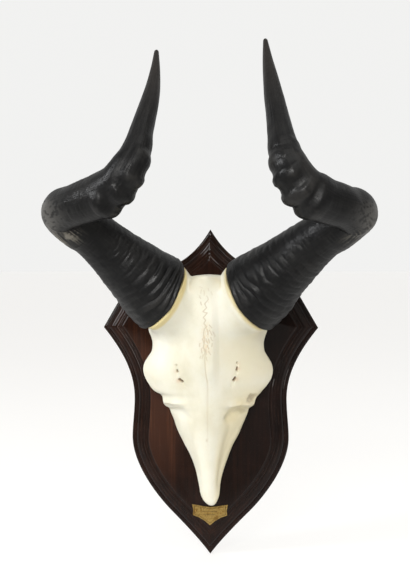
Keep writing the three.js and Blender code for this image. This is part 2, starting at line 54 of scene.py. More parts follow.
camera.rotation_quaternion = Vector(
    (
        -math.sin(camera_turn) * math.cos(camera_dip),
        math.cos(camera_turn) * math.cos(camera_dip),
        -math.sin(camera_dip),
    )
).to_track_quat("-Z", "Y")
scene.collection.objects.link(camera)
scene.camera = camera


# The shield is one mahogany board, 382 mm tall, sawn to a pointed outline with two side corners.
# A stepped and rounded moulding is cut round its edge, mitred at the four points, and the board is
# stained dark and varnished. Its back is flat, with a pocket for the hanging plate and screw holes.
SHIELD_UPPER = [
    [(0, 190.4), (11, 172), (30, 147), (64, 143.5)],
    [(64, 143.5), (76, 141), (92, 134.6), (99, 122.5)],
    [(99, 122.5), (108.1, 106.8), (117.1, 91.2), (126.2, 75.5)],
]
SHIELD_LOWER = [
    [(126.2, 75.5), (104, 48), (89.6, 22), (89.6, -8)],
    [(89.6, -8), (89.6, -24), (92.1, -40), (92.1, -54)],
    [(92.1, -54), (92.1, -82), (70, -116.2), (47.1, -139.9)],
    [(47.1, -139.9), (28, -159), (11, -177), (0, -191.9)],
]
# Moulding cutters, from the edge inwards: start and end as inset and height, and how far it bulges.
MOULDING_CUTS = [
    ((0, 0.0), (0, 6.6), 0.0, 2),
    ((0, 6.6), (5.0, 8.5), 0.9, 8),
    ((5.0, 8.5), (5.4, 10.3), 0.0, 2),
    ((5.4, 10.3), (10.7, 15.2), 1.0, 9),
    ((10.7, 15.2), (14.6, 16.5), 0.45, 6),
    ((14.6, 16.5), (14.9, 17.6), 0.0, 2),
    ((14.9, 17.6), (17.8, 18.0), 0.3, 5),
    ((17.8, 18.0), (21.4, 20.0), -0.45, 7),
]
ARRIS_ROUND = 0.16
FIELD_FRONT = 20.0
SIDE_POINTS = (96, 150)


def new_piece(name, points, faces, body="root", smooth=True):
    """A mesh piece from points in millimetres, riding on its body."""
    mesh = bpy.data.meshes.new(name)
    places = (np.asarray(points, float) * 0.001).tolist()
    mesh.from_pydata(places, [], [tuple(map(int, face)) for face in faces])
    mesh.validate()
    made = bmesh.new()
    made.from_mesh(mesh)
    bmesh.ops.recalc_face_normals(made, faces=made.faces)
    made.to_mesh(mesh)
    made.free()
    if smooth:
        mesh.shade_smooth()
    piece = bpy.data.objects.new(name, mesh)
    scene.collection.objects.link(piece)
    if body:
        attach(piece, body)
    return piece


def worked(piece):
    """Works the piece's modifiers into its mesh."""
    graph = bpy.context.evaluated_depsgraph_get()
    old = piece.data
    piece.data = bpy.data.meshes.new_from_object(piece.evaluated_get(graph))
    piece.modifiers.clear()
    name = old.name
    bpy.data.meshes.remove(old)
    piece.data.name = name


def cut_out(piece, forms):
    """Cuts forms, given as points and faces, out of the piece."""
    for form in forms:
        cutter = new_piece("cutter", *form, body=None, smooth=False)
        tool = piece.modifiers.new("cut", "BOOLEAN")
        tool.operation = "DIFFERENCE"
        tool.solver = "EXACT"
        tool.object = cutter
        worked(piece)
        bpy.data.objects.remove(cutter)


def shaded(piece, angle):
    """Shades the piece smooth except at edges sharper than the angle."""
    piece.data.shade_smooth()
    piece.data.set_sharp_from_angle(angle=math.radians(angle))


def mark(mesh, label, values):
    """Keeps a value for each point of the mesh, for its material to read."""
    mesh.attributes.new(label, "FLOAT", "POINT").data.foreach_set("value", values)


def closed_loft(rings):
    """Points and faces of a closed skin over rings of equal count."""
    count = len(rings[0])
    faces = []
    for r in range(len(rings) - 1):
        for k in range(count):
            a = r * count + k
            b = r * count + (k + 1) % count
            faces.append((a, b, b + count, a + count))
    faces.append(tuple(range(count)))
    faces.append(tuple(reversed(range((len(rings) - 1) * count, len(rings) * count))))
    return np.vstack(rings), faces


def turned(profile, around, base, axis):
    """Points and faces of a turned form: a profile of radius and depth along the axis."""
    turn = Vector((0, 0, 1)).rotation_difference(Vector(axis)).to_matrix()
    angles = [2 * math.pi * k / around for k in range(around)]
    rings = []
    for radius, depth in profile:
        circle = [Vector((radius * math.cos(a), radius * math.sin(a), depth)) for a in angles]
        rings.append([tuple(Vector(base) + turn @ point) for point in circle])
    return closed_loft(rings)


def block(low, high):
    """Points and faces of a squared block, used as a cutter."""
    corners = [(low[0], low[1]), (high[0], low[1]), (high[0], high[1]), (low[0], high[1])]
    return closed_loft([[(x, y, z) for x, y in corners] for z in (low[2], high[2])])


def unit(ways):
    """Directions at length one."""
    return ways / np.linalg.norm(ways, axis=-1, keepdims=True)


def side_curve(parts, count=420):
    """A side of the outline as a fine run of points with its inward normals."""
    places = []
    ways = []
    for p0, p1, p2, p3 in parts:
        p0, p1, p2, p3 = map(np.array, (p0, p1, p2, p3))
        t = np.linspace(0, 1, count // len(parts))[:, None]
        places.append((1 - t) ** 3 * p0 + 3 * (1 - t) ** 2 * t * p1 + 3 * (1 - t) * t**2 * p2 + t**3 * p3)
        ways.append((1 - t) ** 2 * (p1 - p0) + 2 * (1 - t) * t * (p2 - p1) + t**2 * (p3 - p2))
    places = np.vstack(places)
    ways = unit(np.vstack(ways))
    inward = np.column_stack([ways[:, 1], -ways[:, 0]])
    keep = np.concatenate([[True], np.linalg.norm(np.diff(places, axis=0), axis=1) > 1e-6])
    return places[keep], inward[keep]


def reach_along(run):
    """How far along the run each of its points lies."""
    return np.concatenate([[0], np.cumsum(np.linalg.norm(np.diff(run, axis=0), axis=1))])


def sampled(wanted, places, rows):
    """Rows of numbers read off at the wanted places."""
    return np.column_stack([np.interp(wanted, places, column) for column in rows.T])


def evenly(run, count):
    """The run again with evenly spaced points."""
    reach = reach_along(run)
    return sampled(np.linspace(0, reach[-1], count), reach, run)


def mitre(first, second):
    """Cuts two runs where they cross, so that both end in the mitre point."""
    a = first[:-1, None, :]
    ab = first[1:, None, :] - a
    c = second[None, :-1, :]
    cd = second[None, 1:, :] - c
    across = ab[..., 0] * cd[..., 1] - ab[..., 1] * cd[..., 0]
    across = np.where(np.abs(across) < 1e-12, 1e-12, across)
    ac = c - a
    s = (ac[..., 0] * cd[..., 1] - ac[..., 1] * cd[..., 0]) / across
    t = (ac[..., 0] * ab[..., 1] - ac[..., 1] * ab[..., 0]) / across
    i, j = np.argwhere((s >= 0) & (s <= 1) & (t >= 0) & (t <= 1))[-1]
    point = first[i] + s[i, j] * (first[i + 1] - first[i])
    return np.vstack([first[: i + 1], point]), np.vstack([point, second[j + 1 :]])


def shield_ring(inset):
    """One ring of the outline moved inwards, right half then left half."""
    upper_at, upper_in = side_curve(SHIELD_UPPER)
    lower_at, lower_in = side_curve(SHIELD_LOWER)
    upper = upper_at + upper_in * inset
    lower = lower_at + lower_in * inset
    if inset > 0:
        k = int(np.argmax(upper[:, 0] > 0))
        share = -upper[k - 1, 0] / (upper[k, 0] - upper[k - 1, 0])
        upper = np.vstack([upper[k - 1] + share * (upper[k] - upper[k - 1]), upper[k:]])
        k = len(lower) - 1 - int(np.argmax(lower[::-1, 0] > 0))
        share = lower[k, 0] / (lower[k, 0] - lower[k + 1, 0])
        lower = np.vstack([lower[: k + 1], lower[k] + share * (lower[k + 1] - lower[k])])
        upper, lower = mitre(upper, lower)
    right = np.vstack([evenly(upper, SIDE_POINTS[0]), evenly(lower, SIDE_POINTS[1])[1:]])
    left = right[1:-1][::-1] * [-1, 1]
    return np.vstack([right, left])


def moulding_profile():
    """The moulding's section as inset, height and whether the point is on an arris."""
    section = []
    for start, end, bulge, count in MOULDING_CUTS:
        p, q = np.array(start), np.array(end)
        way = unit(q - p)
        middle = (p + q) / 2 + bulge * 2 * np.array([-way[1], way[0]])
        t = np.linspace(0, 1, count + 1)[:, None]
        run = (1 - t) ** 2 * p + 2 * (1 - t) * t * middle + t**2 * q
        reach = np.linalg.norm(run[1] - run[0])
        first = run[0] + (run[1] - run[0]) * min(0.4, ARRIS_ROUND / reach)
        reach = np.linalg.norm(run[-1] - run[-2])
        last = run[-1] - (run[-1] - run[-2]) * min(0.4, ARRIS_ROUND / reach)
        section.append((first, True))
        section += [(point, False) for point in run[1:-1]]
        section.append((last, True))
    section[0] = (np.array([0.0, 0.0]), False)
    section.append((np.array([22.0, FIELD_FRONT]), False))
    return section


shield_rings = []
shield_rubbed = []
for (inset, height), on_arris in moulding_profile():
    ring = shield_ring(inset)
    shield_rings.append(np.column_stack([ring[:, 0], np.full(len(ring), -height), ring[:, 1]]))
    shield_rubbed += [float(on_arris)] * len(ring)
shield = new_piece("shield_board", *closed_loft(shield_rings))
mark(shield.data, "rubbed", shield_rubbed)

# The pocket and holes are routed and drilled from behind, and the pins' holes from the front.
FROM_BEHIND = (0, -1, 0)
FROM_FRONT = (0, 1, 0)
HANGER_Z = 118
HANGER_SCREW_Z = (HANGER_Z + 17, HANGER_Z - 17)
SKULL_SCREW_Z = (58, -30)
PIN_X = 16
PIN_Z = -138.6
# The hanging plate's pocket and the deeper room behind its keyhole: half width, half height, depth.
POCKETS = [(11.3, 24.3, 2.6), (5.85, 11.25, 9)]
HANGER_SCREW_HOLE = [(2.0, -3), (2.0, 13)]
SKULL_SCREW_HOLE = [(5.4, -1), (5.4, 0.35), (2.7, 3.2), (2.7, 24)]
PIN_HOLE = [(0.8, -1), (0.8, 9)]
shield_cuts = [block((-w, -d, HANGER_Z - h), (w, 2, HANGER_Z + h)) for w, h, d in POCKETS]
shield_cuts += [turned(HANGER_SCREW_HOLE, 24, (0, 0, z), FROM_BEHIND) for z in HANGER_SCREW_Z]
shield_cuts += [turned(SKULL_SCREW_HOLE, 32, (0, 0, z), FROM_BEHIND) for z in SKULL_SCREW_Z]
shield_cuts += [turned(PIN_HOLE, 16, (x, -FIELD_FRONT, PIN_Z), FROM_FRONT) for x in (-PIN_X, PIN_X)]
cut_out(shield, shield_cuts)
shaded(shield, 33)


def connect(tree, node, sockets):
    """Fills a node's sockets with values or with links from other nodes."""
    for name, value in sockets.items():
        if isinstance(value, bpy.types.NodeSocket):
            tree.links.new(value, node.inputs[name])
        else:
            node.inputs[name].default_value = value


def node_in(tree, kind, sockets=None, **settings):
    """A shader node with its settings and filled sockets."""
    node = tree.nodes.new("ShaderNode" + kind)
    for name, value in settings.items():
        setattr(node, name, value)
    connect(tree, node, sockets or {})
    return node


def maths(tree, operation, *terms):
    """A sum worked out in the shader."""
    return node_in(tree, "Math", dict(enumerate(terms)), operation=operation).outputs[0]


def axis_of(tree, place, axis):
    """One of the three axes of a place."""
    return node_in(tree, "SeparateXYZ", {"Vector": place}).outputs[axis]


def painted(tree, label, strength=1.0):
    """A mask worked into the mesh, at full or lesser strength."""
    mask = node_in(tree, "Attribute", attribute_name=label).outputs["Fac"]
    return mask if strength == 1.0 else maths(tree, "MULTIPLY", mask, strength)


def bump(tree, strength, distance, height):
    """A relief too fine for the mesh."""
    sockets = {"Strength": strength, "Distance": distance, "Height": height}
    return node_in(tree, "Bump", sockets).outputs["Normal"]


def blended(tree, share, first, second):
    """Two colours mixed by a share that changes over the surface."""
    node = node_in(tree, "Mix", data_type="RGBA")
    sockets = {socket.identifier: socket for socket in node.inputs}
    tree.links.new(share, sockets["Factor_Float"])
    for name, value in (("A_Color", first), ("B_Color", second)):
        if isinstance(value, bpy.types.NodeSocket):
            tree.links.new(value, sockets[name])
        else:
            sockets[name].default_value = (*value, 1)
    return next(socket for socket in node.outputs if socket.identifier == "Result_Color")


def layered(tree, colour, layers):
    """A colour with others laid over it in turn, each by its own share."""
    for share, over in layers:
        colour = blended(tree, share, colour, over)
    return colour


def ramp(tree, source, stops):
    """A colour ramp with the given places and colours."""
    node = node_in(tree, "ValToRGB", {"Fac": source})
    band = node.color_ramp
    while len(band.elements) < len(stops):
        band.elements.new(0.5)
    for element, (place, colour) in zip(band.elements, stops):
        element.position = place
        element.color = (*colour, 1)
    return node.outputs["Color"]


def ranged(tree, source, low, high, to_low=0.0, to_high=1.0):
    """A value stretched from one range to another and kept inside it."""
    spans = {"Value": source, "From Min": low, "From Max": high, "To Min": to_low, "To Max": to_high}
    return node_in(tree, "MapRange", spans, interpolation_type="SMOOTHSTEP").outputs["Result"]


def stretched_noise(tree, place, scale, detail=3.0, rough=0.55, warp=0.0):
    """Noise drawn out along the axes by a scale per axis."""
    moved = node_in(tree, "Mapping", {"Vector": place, "Scale": scale}).outputs["Vector"]
    settings = {"Vector": moved, "Scale": 1.0, "Detail": detail, "Roughness": rough, "Distortion": warp}
    return node_in(tree, "TexNoise", settings).outputs["Fac"]


def new_material(name):
    """An empty node material with its tree, surface shader and place on the piece."""
    material = bpy.data.materials.new(name)
    material.use_nodes = True
    tree = material.node_tree
    tree.nodes.clear()
    shader = node_in(tree, "BsdfPrincipled")
    node_in(tree, "OutputMaterial", {"Surface": shader.outputs["BSDF"]})
    return material, tree, shader, node_in(tree, "TexCoord").outputs["Object"]


def finished(piece, material):
    """Gives the whole piece one material."""
    piece.data.materials.clear()
    piece.data.materials.append(material)


def effect_group(name, inputs, outputs):
    """An empty shader node group with named inputs and outputs."""
    group = bpy.data.node_groups.new(name, "ShaderNodeTree")
    for label, kind, value in inputs:
        socket = group.interface.new_socket(label, in_out="INPUT", socket_type="NodeSocket" + kind)
        if value is not None:
            socket.default_value = value
    for label, kind in outputs:
        group.interface.new_socket(label, in_out="OUTPUT", socket_type="NodeSocket" + kind)
    return group, group.nodes.new("NodeGroupInput"), group.nodes.new("NodeGroupOutput")


# Dust and handling: soft cloudy patches and small specks that dull any finish a little.
dust_group, dust_in, dust_out = effect_group(
    "settled dust",
    [("Place", "Vector", None), ("Patch size", "Float", 30.0), ("Speck size", "Float", 900.0)],
    [("Patches", "Float"), ("Specks", "Float")],
)
dust_place, patch_size, speck_size = (dust_in.outputs[name] for name in ("Place", "Patch size", "Speck size"))
patch_look = {"Vector": dust_place, "Scale": patch_size, "Detail": 5.0, "Roughness": 0.6}
patch_noise = node_in(dust_group, "TexNoise", patch_look).outputs["Fac"]
speck_look = {"Vector": dust_place, "Scale": speck_size, "Detail": 1.0}
speck_noise = node_in(dust_group, "TexNoise", speck_look).outputs["Fac"]
dust_patches = ranged(dust_group, patch_noise, 0.4, 0.68)
dust_specks = ranged(dust_group, speck_noise, 0.66, 0.76)
connect(dust_group, dust_out, {"Patches": dust_patches, "Specks": dust_specks})

mahogany, tree, shader, wood_place = new_material("varnished_mahogany")
figure = stretched_noise(tree, wood_place, (46, 46, 2.6), 3.0, 0.5, 0.5)
streak = stretched_noise(tree, wood_place, (330, 330, 9), 5.0, 0.62, 0.2)
pore = stretched_noise(tree, wood_place, (1500, 1500, 46), 2.0, 0.5)
cross_flame = stretched_noise(tree, wood_place, (18, 18, 34), 2.0, 0.5)
grain = maths(tree, "MULTIPLY_ADD", figure, streak, maths(tree, "MULTIPLY", streak, 0.20))
stained_wood = ramp(
    tree,
    grain,
    [
        (0.28, (0.0072, 0.0032, 0.0020)),
        (0.45, (0.0140, 0.0053, 0.0030)),
        (0.57, (0.024, 0.0083, 0.0044)),
        (0.75, (0.044, 0.0150, 0.0078)),
    ],
)
# Painted light: a pool of light on the field beside the left cheek, where the wood is painted lighter and
# redder.
light_pool_spot = {"Vector": wood_place, "Location": (1.50, 0, 0.02), "Scale": (24, 0, 9)}
light_pool_place = node_in(tree, "Mapping", light_pool_spot).outputs["Vector"]
light_pool_reach = node_in(tree, "VectorMath", {0: light_pool_place}, operation="LENGTH").outputs["Value"]
on_field = ranged(tree, axis_of(tree, wood_place, "Y"), -0.0186, -0.0197)
light_pool_share = maths(tree, "MULTIPLY", ranged(tree, light_pool_reach, 1.30, 0.25, 0.0, 0.95), on_field)
lit_wood = ramp(
    tree,
    grain,
    [(0.34, (0.042, 0.016, 0.0090)), (0.50, (0.080, 0.029, 0.0140)), (0.66, (0.135, 0.048, 0.022))],
)
rub_patch = stretched_noise(tree, wood_place, (90, 90, 90), 3.0)
rub_share = maths(tree, "MULTIPLY", painted(tree, "rubbed"), ranged(tree, rub_patch, 0.42, 0.66, 0.0, 0.20))
shade_across = axis_of(tree, wood_place, "X")
wood_dust_sizes = {"Place": wood_place, "Patch size": 26.0, "Speck size": 1100.0}
wood_dust = node_in(tree, "Group", wood_dust_sizes, node_tree=dust_group)
wood_colour = layered(
    tree,
    stained_wood,
    [
        (ranged(tree, pore, 0.60, 0.70, 0.0, 0.7), (0.005, 0.0028, 0.0022)),
        (ranged(tree, cross_flame, 0.45, 0.75, 0.0, 0.25), (0.038, 0.014, 0.0085)),
        # Painted light: the lit pool beside the left cheek.
        (light_pool_share, lit_wood),
        # Painted shade: the board is painted darker towards its right side.
        (ranged(tree, shade_across, 0.01, 0.075, 0.0, 0.55), (0.0070, 0.0045, 0.0042)),
        (rub_share, (0.075, 0.036, 0.023)),
        (ranged(tree, wood_dust.outputs["Specks"], 0.0, 1.0, 0.0, 0.10), (0.25, 0.22, 0.19)),
    ],
)
wood_relief = maths(tree, "MULTIPLY_ADD", pore, -0.6, streak)
connect(
    tree,
    shader,
    {
        "Base Color": wood_colour,
        "Roughness": ranged(tree, wood_dust.outputs["Patches"], 0.0, 1.0, 0.30, 0.40),
        "Specular IOR Level": 0.0,
        "Coat Weight": 0.30,
        "Coat Roughness": 0.05,
        "Normal": bump(tree, 0.10, 0.0006, wood_relief),
    },
)
finished(shield, mahogany)
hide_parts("shield")


# The skull is the top half of a hartebeest's, sawn flat behind so that it lies on the board: one
# cleaned and bleached bone from the brow to the tip of the nose. Two round stubs of bone carry the
# horns. It is held by two screws from behind, and shows its brow seam, vessel holes and tear pits.
SKULL_BACK = -20.3
# Height up the board, left and right half widths, depth of the sawn side and depth of the crest.
SKULL_STATIONS = [
    (138, 31, 30, 22, 78),
    (136, 36, 36, 24, 84),
    (127, 46, 46, 28, 87),
    (110, 55, 55, 30, 83),
    (93, 62, 62, 31, 80),
    (82, 66.8, 66.4, 30, 77.5),
    (75, 68.2, 67.3, 30, 76),
    (68, 65.8, 65, 28, 74.3),
    (60, 64, 63.4, 26.5, 72),
    (52, 64.6, 64.2, 26, 69.5),
    (44, 69.2, 68.5, 26, 67.2),
    (36, 73.6, 72.9, 26, 64.8),
    (29, 74.8, 74.0, 25, 62.5),
    (21.5, 73.2, 72.6, 25, 60.4),
    (13.2, 69.1, 67.9, 24, 58),
    (6, 64.3, 62.1, 22.5, 55.8),
    (2.4, 59.5, 59.2, 21, 54.7),
    (0.8, 55.5, 57.6, 20.5, 54.2),
    (-3.2, 53, 54.4, 20, 53),
    (-7, 52.3, 53.4, 19.5, 51.9),
    (-11, 51.6, 52.2, 18, 50.5),
    (-13.8, 49.6, 49.2, 15.5, 49.6),
    (-15.4, 46.2, 46.6, 14, 49.1),
    (-21.4, 44.3, 44.9, 12, 47.1),
    (-29, 41.2, 41.8, 10.5, 44.6),
    (-42, 37, 36.4, 8.5, 40),
    (-58.5, 29.2, 27.6, 7, 34.1),
    (-74.5, 21.7, 20.8, 6.5, 28.6),
    (-90.5, 16.5, 15.1, 6.5, 23.3),
    (-105.2, 13.5, 11.8, 6.5, 18.5),
    (-115.9, 12.1, 10.8, 6.5, 15),
    (-122.5, 9.9, 8.8, 6, 12.7),
    (-127.8, 6.2, 5.9, 5.5, 10.2),
    (-131, 2.4, 2.4, 5, 6.6),
]
# The skull is not quite straight: how far its middle leans right at each height.
SKULL_LEAN = [
    (138, 0.4), (30, 0.1), (-40, 0.1), (-60, 0.4), (-75, 0.9), (-100, 1.3), (-122, 1.8), (-131, 2.4),
]
BROW_POWER = 1.75
NOSE_POWER = 1.15
CREST_RIDGE = 3.2
CREST_RIDGE_HALF = 11
SKULL_ROW = 0.9
SKULL_COLUMNS = 81
SKULL_GRAIN = 1.15
ORBIT_RADII = (27, 17.5, 23)
ORBIT_PLACE = (80, SKULL_BACK - 2, 27)
ORBIT_AROUND = 48
STUB_AROUND = 72

# Horn centre lines: x, y, z and half thickness, from the seat on the bone to the tip.
HORN_LINES = {
    "left": [
        (-50.8, -70, 116.3, 43.6), (-58, -74.5, 121.4, 41.2), (-72, -83.5, 135.5, 37),
        (-85.7, -92, 150, 33), (-98.5, -99, 162.5, 29.6), (-115, -109, 177.8, 26.7),
        (-132, -121, 192.8, 25.3), (-148.5, -139, 206.8, 24.2), (-131.5, -160, 213.8, 23.2),
        (-103.3, -177, 221.2, 23.6), (-81.6, -189, 232.4, 20.4), (-70.8, -191, 251, 16.8),
        (-63.6, -181, 270.6, 14.2), (-60.6, -168, 288.7, 12), (-56.6, -148, 314, 10),
        (-54, -128, 337.6, 7.9), (-53.4, -109, 360.3, 5.3), (-54.2, -87.6, 386.2, 2.3),
    ],
    "right": [
        (48, -67.3, 114.4, 44.6), (60.5, -73, 122.8, 41.3), (78, -84, 139.5, 36.4),
        (91, -91, 151.5, 33.1), (108, -100, 166.5, 29), (123.8, -108, 178.3, 26.5),
        (140, -118, 189.2, 25.6), (160, -137, 203.2, 24.8), (148.5, -157, 210.6, 23.8),
        (128.7, -174, 216, 24), (107.6, -188, 227, 21.4), (96, -191, 242, 18.4),
        (88.6, -184, 258.7, 16.4), (84.4, -173, 276.7, 14.4), (80.4, -154, 301, 12),
        (76.3, -137, 322.4, 10.2), (72.8, -119, 346, 8.4), (68.3, -97, 374.5, 5.3),
        (65.4, -79.8, 398.6, 2.3),
    ],
}
# Bone stub under each horn: place along the horn's axis, radius beside the horn's own, and how far
# it hangs low towards the nose.
STUB_STEPS = [
    (-46, -15, 6),
    (-20, -7, 5),
    (-8, -1.4, 2.8),
    (-1.6, 0.5, 1.5),
    (-0.3, 0.0, 1.2),
    (-0.3, -7.6, 0),
    (26, -13.6, 0),
]
# The bone draws back from the horn's rim on the outer side.
STUB_TUCK = 5.0
# The rims are cut slanting: how far they stand back on the inner side and come forward below.
RIM_BACK = {"left": 2.8, "right": 3.2}
RIM_FORWARD = {"left": 1.4, "right": 0.2}


def smooth_through(places, values, wanted):
    """A soft curve through the values that never overshoots them."""
    places, values = np.asarray(places, float), np.asarray(values, float)
    step = np.diff(places)
    slope = np.diff(values) / step
    tilt = np.zeros_like(values)
    same = slope[:-1] * slope[1:] > 0
    tilt[1:-1][same] = 2 * slope[:-1][same] * slope[1:][same] / (slope[:-1] + slope[1:])[same]
    tilt[0], tilt[-1] = slope[0], slope[-1]
    k = np.clip(np.searchsorted(places, wanted) - 1, 0, len(step) - 1)
    t = np.clip((wanted - places[k]) / step[k], 0, 1)
    return (
        values[k] * (1 + 2 * t) * (1 - t) ** 2
        + tilt[k] * step[k] * t * (1 - t) ** 2
        + values[k + 1] * t**2 * (3 - 2 * t)
        + tilt[k + 1] * step[k] * t**2 * (t - 1)
    )


def eased(value, low, high):
    """0 below low, 1 above high and soft between."""
    t = np.clip((value - low) / (high - low), 0, 1)
    return t * t * (3 - 2 * t)


def skull_value(z, column):
    """One of the skull's measures at any height."""
    table = np.array(SKULL_STATIONS[::-1], float)
    return smooth_through(table[:, 0], table[:, column], np.asarray(z, float))


def skull_lean(z):
    """How far the skull's middle leans right at any height."""
    table = np.array(SKULL_LEAN[::-1], float)
    return np.interp(z, table[:, 0], table[:, 1])


def horn_line(side, count=900):
    """The horn's centre line as evenly spaced places, with its half thickness."""
    knots = np.array(HORN_LINES[side], float)
    at = knots[:, :3]
    ends = np.vstack([2 * at[0] - at[1], at, 2 * at[-1] - at[-2]])
    run = []
    for k in range(len(at) - 1):
        p0, p1, p2, p3 = ends[k : k + 4]
        d0, d1, d2 = (np.linalg.norm(q - p) ** 0.5 for p, q in ((p0, p1), (p1, p2), (p2, p3)))
        m1 = ((p1 - p0) / d0 - (p2 - p0) / (d0 + d1) + (p2 - p1) / d1) * d1
        m2 = ((p2 - p1) / d1 - (p3 - p1) / (d1 + d2) + (p3 - p2) / d2) * d1
        t = np.linspace(0, 1, 60, endpoint=False)[:, None]
        run.append(
            (2 * t**3 - 3 * t**2 + 1) * p1
            + (t**3 - 2 * t**2 + t) * m1
            + (3 * t**2 - 2 * t**3) * p2
            + (t**3 - t**2) * m2
        )
    run = np.vstack(run + [at[-1:]])
    reach = reach_along(run)
    want = np.linspace(0, reach[-1], count)
    return sampled(want, reach, run), smooth_through(reach[::60], knots[:, 3], want), reach[-1]


def rim_slant(side, way, outward):
    """How far the horn's rim stands back along its axis, for outward directions round it."""
    inner = outward @ np.array([way * -0.8, 0.0, 0.6])
    return RIM_BACK[side] * eased(inner, -0.1, 0.8) - RIM_FORWARD[side] * eased(-inner, 0.3, 0.8)


def cloud(places, size, seed):
    """Soft random swelling between -1 and 1, with lumps of about the given size on each axis."""
    lattice = np.random.default_rng(seed).uniform(-1, 1, (24, 24, 24))
    p = places / np.asarray(size, float)
    base = np.floor(p).astype(int)
    f = p - base
    f = f * f * (3 - 2 * f)
    total = np.zeros(len(places))
    for corner in np.ndindex(2, 2, 2):
        here = (base + corner) % 24
        weight = np.prod(np.where(np.array(corner, bool), f, 1 - f), axis=1)
        total += lattice[here[:, 0], here[:, 1], here[:, 2]] * weight
    return total


skull_rings = []
for z in np.concatenate([np.arange(138, -131, -SKULL_ROW), [-131.0]]):
    left, right, edge, crest = (float(skull_value(z, column)) for column in (1, 2, 3, 4))
    blend = min(1.0, max(0.0, (z + 40) / 102))
    angle = np.linspace(0, math.pi, SKULL_COLUMNS)
    dome = np.sin(angle) ** (NOSE_POWER + (BROW_POWER - NOSE_POWER) * blend)
    x = -np.cos(angle) * np.where(angle < math.pi / 2, left, right)
    ridge = CREST_RIDGE * blend * (np.exp(-((x / CREST_RIDGE_HALF) ** 2)) - 1) * dome
    cheek_part = eased(np.abs(x), 20, 34)
    cheek = cheek_part * (2 * math.exp(-(((z + 8) / 5) ** 2)) - 2.4 * math.exp(-(((z + 22) / 8) ** 2)))
    height = edge + (crest - edge) * dome + ridge + cheek
    tuck = min(5.0, 0.3 * left)
    x = np.concatenate([[tuck - left, 0.25 * tuck - left], x, [right - 0.25 * tuck, right - tuck]])
    height = np.concatenate([[0, 0.55 * edge], height, [0.55 * edge, 0]])
    skull_rings.append(np.column_stack([x + skull_lean(z), SKULL_BACK - height, np.full(len(x), z)]))
skull = new_piece("skull_bone", *closed_loft(skull_rings))

orbit_turn = np.linspace(0, 2 * math.pi, ORBIT_AROUND, endpoint=False)
orbits = []
for way in (-1, 1):
    rings = []
    for share in np.linspace(0.02, 0.98, 25):
        lat = math.pi * (share - 0.5)
        x = ORBIT_PLACE[0] + ORBIT_RADII[0] * math.cos(lat) * np.cos(orbit_turn)
        y = ORBIT_PLACE[1] + ORBIT_RADII[1] * math.cos(lat) * np.sin(orbit_turn)
        z = np.full(ORBIT_AROUND, ORBIT_PLACE[2] + ORBIT_RADII[2] * math.sin(lat))
        rings.append(np.column_stack([way * x, y, z]))
    orbits.append(closed_loft(rings))
cut_out(skull, orbits)

# The two stubs are lofted along the horns' axes, sawn at the back plane and grown into the bone.
seats = {}
for side, way in (("left", -1), ("right", 1)):
    line, thick, _ = horn_line(side)
    seat = line[0]
    axis = unit(line[1] - line[0])
    to_nose = np.array([way * -0.4, -0.3, -0.8])
    to_nose = unit(to_nose - axis * to_nose.dot(axis))
    seats[side] = (seat, axis, to_nose)
    up = unit(np.cross(axis, [0, -1, 0]))
    out = np.cross(up, axis)
    turn = np.linspace(0, 2 * math.pi, STUB_AROUND, endpoint=False)[:, None]
    round_it = np.cos(turn) * out + np.sin(turn) * up
    outer = eased(round_it @ np.array([way * 0.93, 0.1, -0.35]), 0.35, 0.8)[:, None]
    slant = np.maximum(rim_slant(side, way, round_it), 0)[:, None]
    rings = []
    for along, radius, shift in STUB_STEPS:
        reach = thick[0] + radius - STUB_TUCK * outer * (along > -12)
        back = along + slant * (-9 < along < 0)
        rings.append(seat + axis * back + to_nose * shift + reach * round_it)
    stub = new_piece("stub", *closed_loft(rings), body=None)
    part = bmesh.new()
    part.from_mesh(stub.data)
    bmesh.ops.bisect_plane(
        part,
        geom=part.verts[:] + part.edges[:] + part.faces[:],
        plane_co=(0, SKULL_BACK * 0.001, 0),
        plane_no=(0, 1, 0),
        clear_outer=True,
    )
    bmesh.ops.holes_fill(part, edges=[e for e in part.edges if e.is_boundary])
    part.to_mesh(stub.data)
    part.free()
    grown = bmesh.new()
    grown.from_mesh(skull.data)
    grown.from_mesh(stub.data)
    grown.to_mesh(skull.data)
    grown.free()
    bpy.data.objects.remove(stub)

remesh = skull.modifiers.new("remesh", "REMESH")
remesh.mode = "VOXEL"
remesh.voxel_size = SKULL_GRAIN * 0.001
ease = skull.modifiers.new("ease", "SMOOTH")
ease.factor = 0.5
ease.iterations = 5
worked(skull)

# Between the horns the bone runs smoothly from stub to stub, so the hollows of the joint are eased out.
MELT_ROUNDS = 320


def mesh_places(mesh):
    """The mesh's points in millimetres and their normals."""
    places = np.empty(len(mesh.vertices) * 3)
    mesh.vertices.foreach_get("co", places)
    normals = np.empty(len(mesh.vertices) * 3)
    mesh.vertices.foreach_get("normal", normals)
    return places.reshape(-1, 3) * 1000, normals.reshape(-1, 3)


def moved_to(mesh, places):
    """Moves the mesh's points to places in millimetres."""
    mesh.vertices.foreach_set("co", (places * 0.001).ravel())
    mesh.update()


def from_seats(places):
    """For each horn seat: place along its axis, distance from it, and how far the side faces low."""
    found = []
    for seat, axis, to_nose in seats.values():
        away = places - seat
        along = away @ axis
        aside = away - along[:, None] * axis
        beside = np.linalg.norm(aside, axis=1)
        found.append((along, beside, (aside @ to_nose) / np.maximum(beside, 1e-6)))
    return found


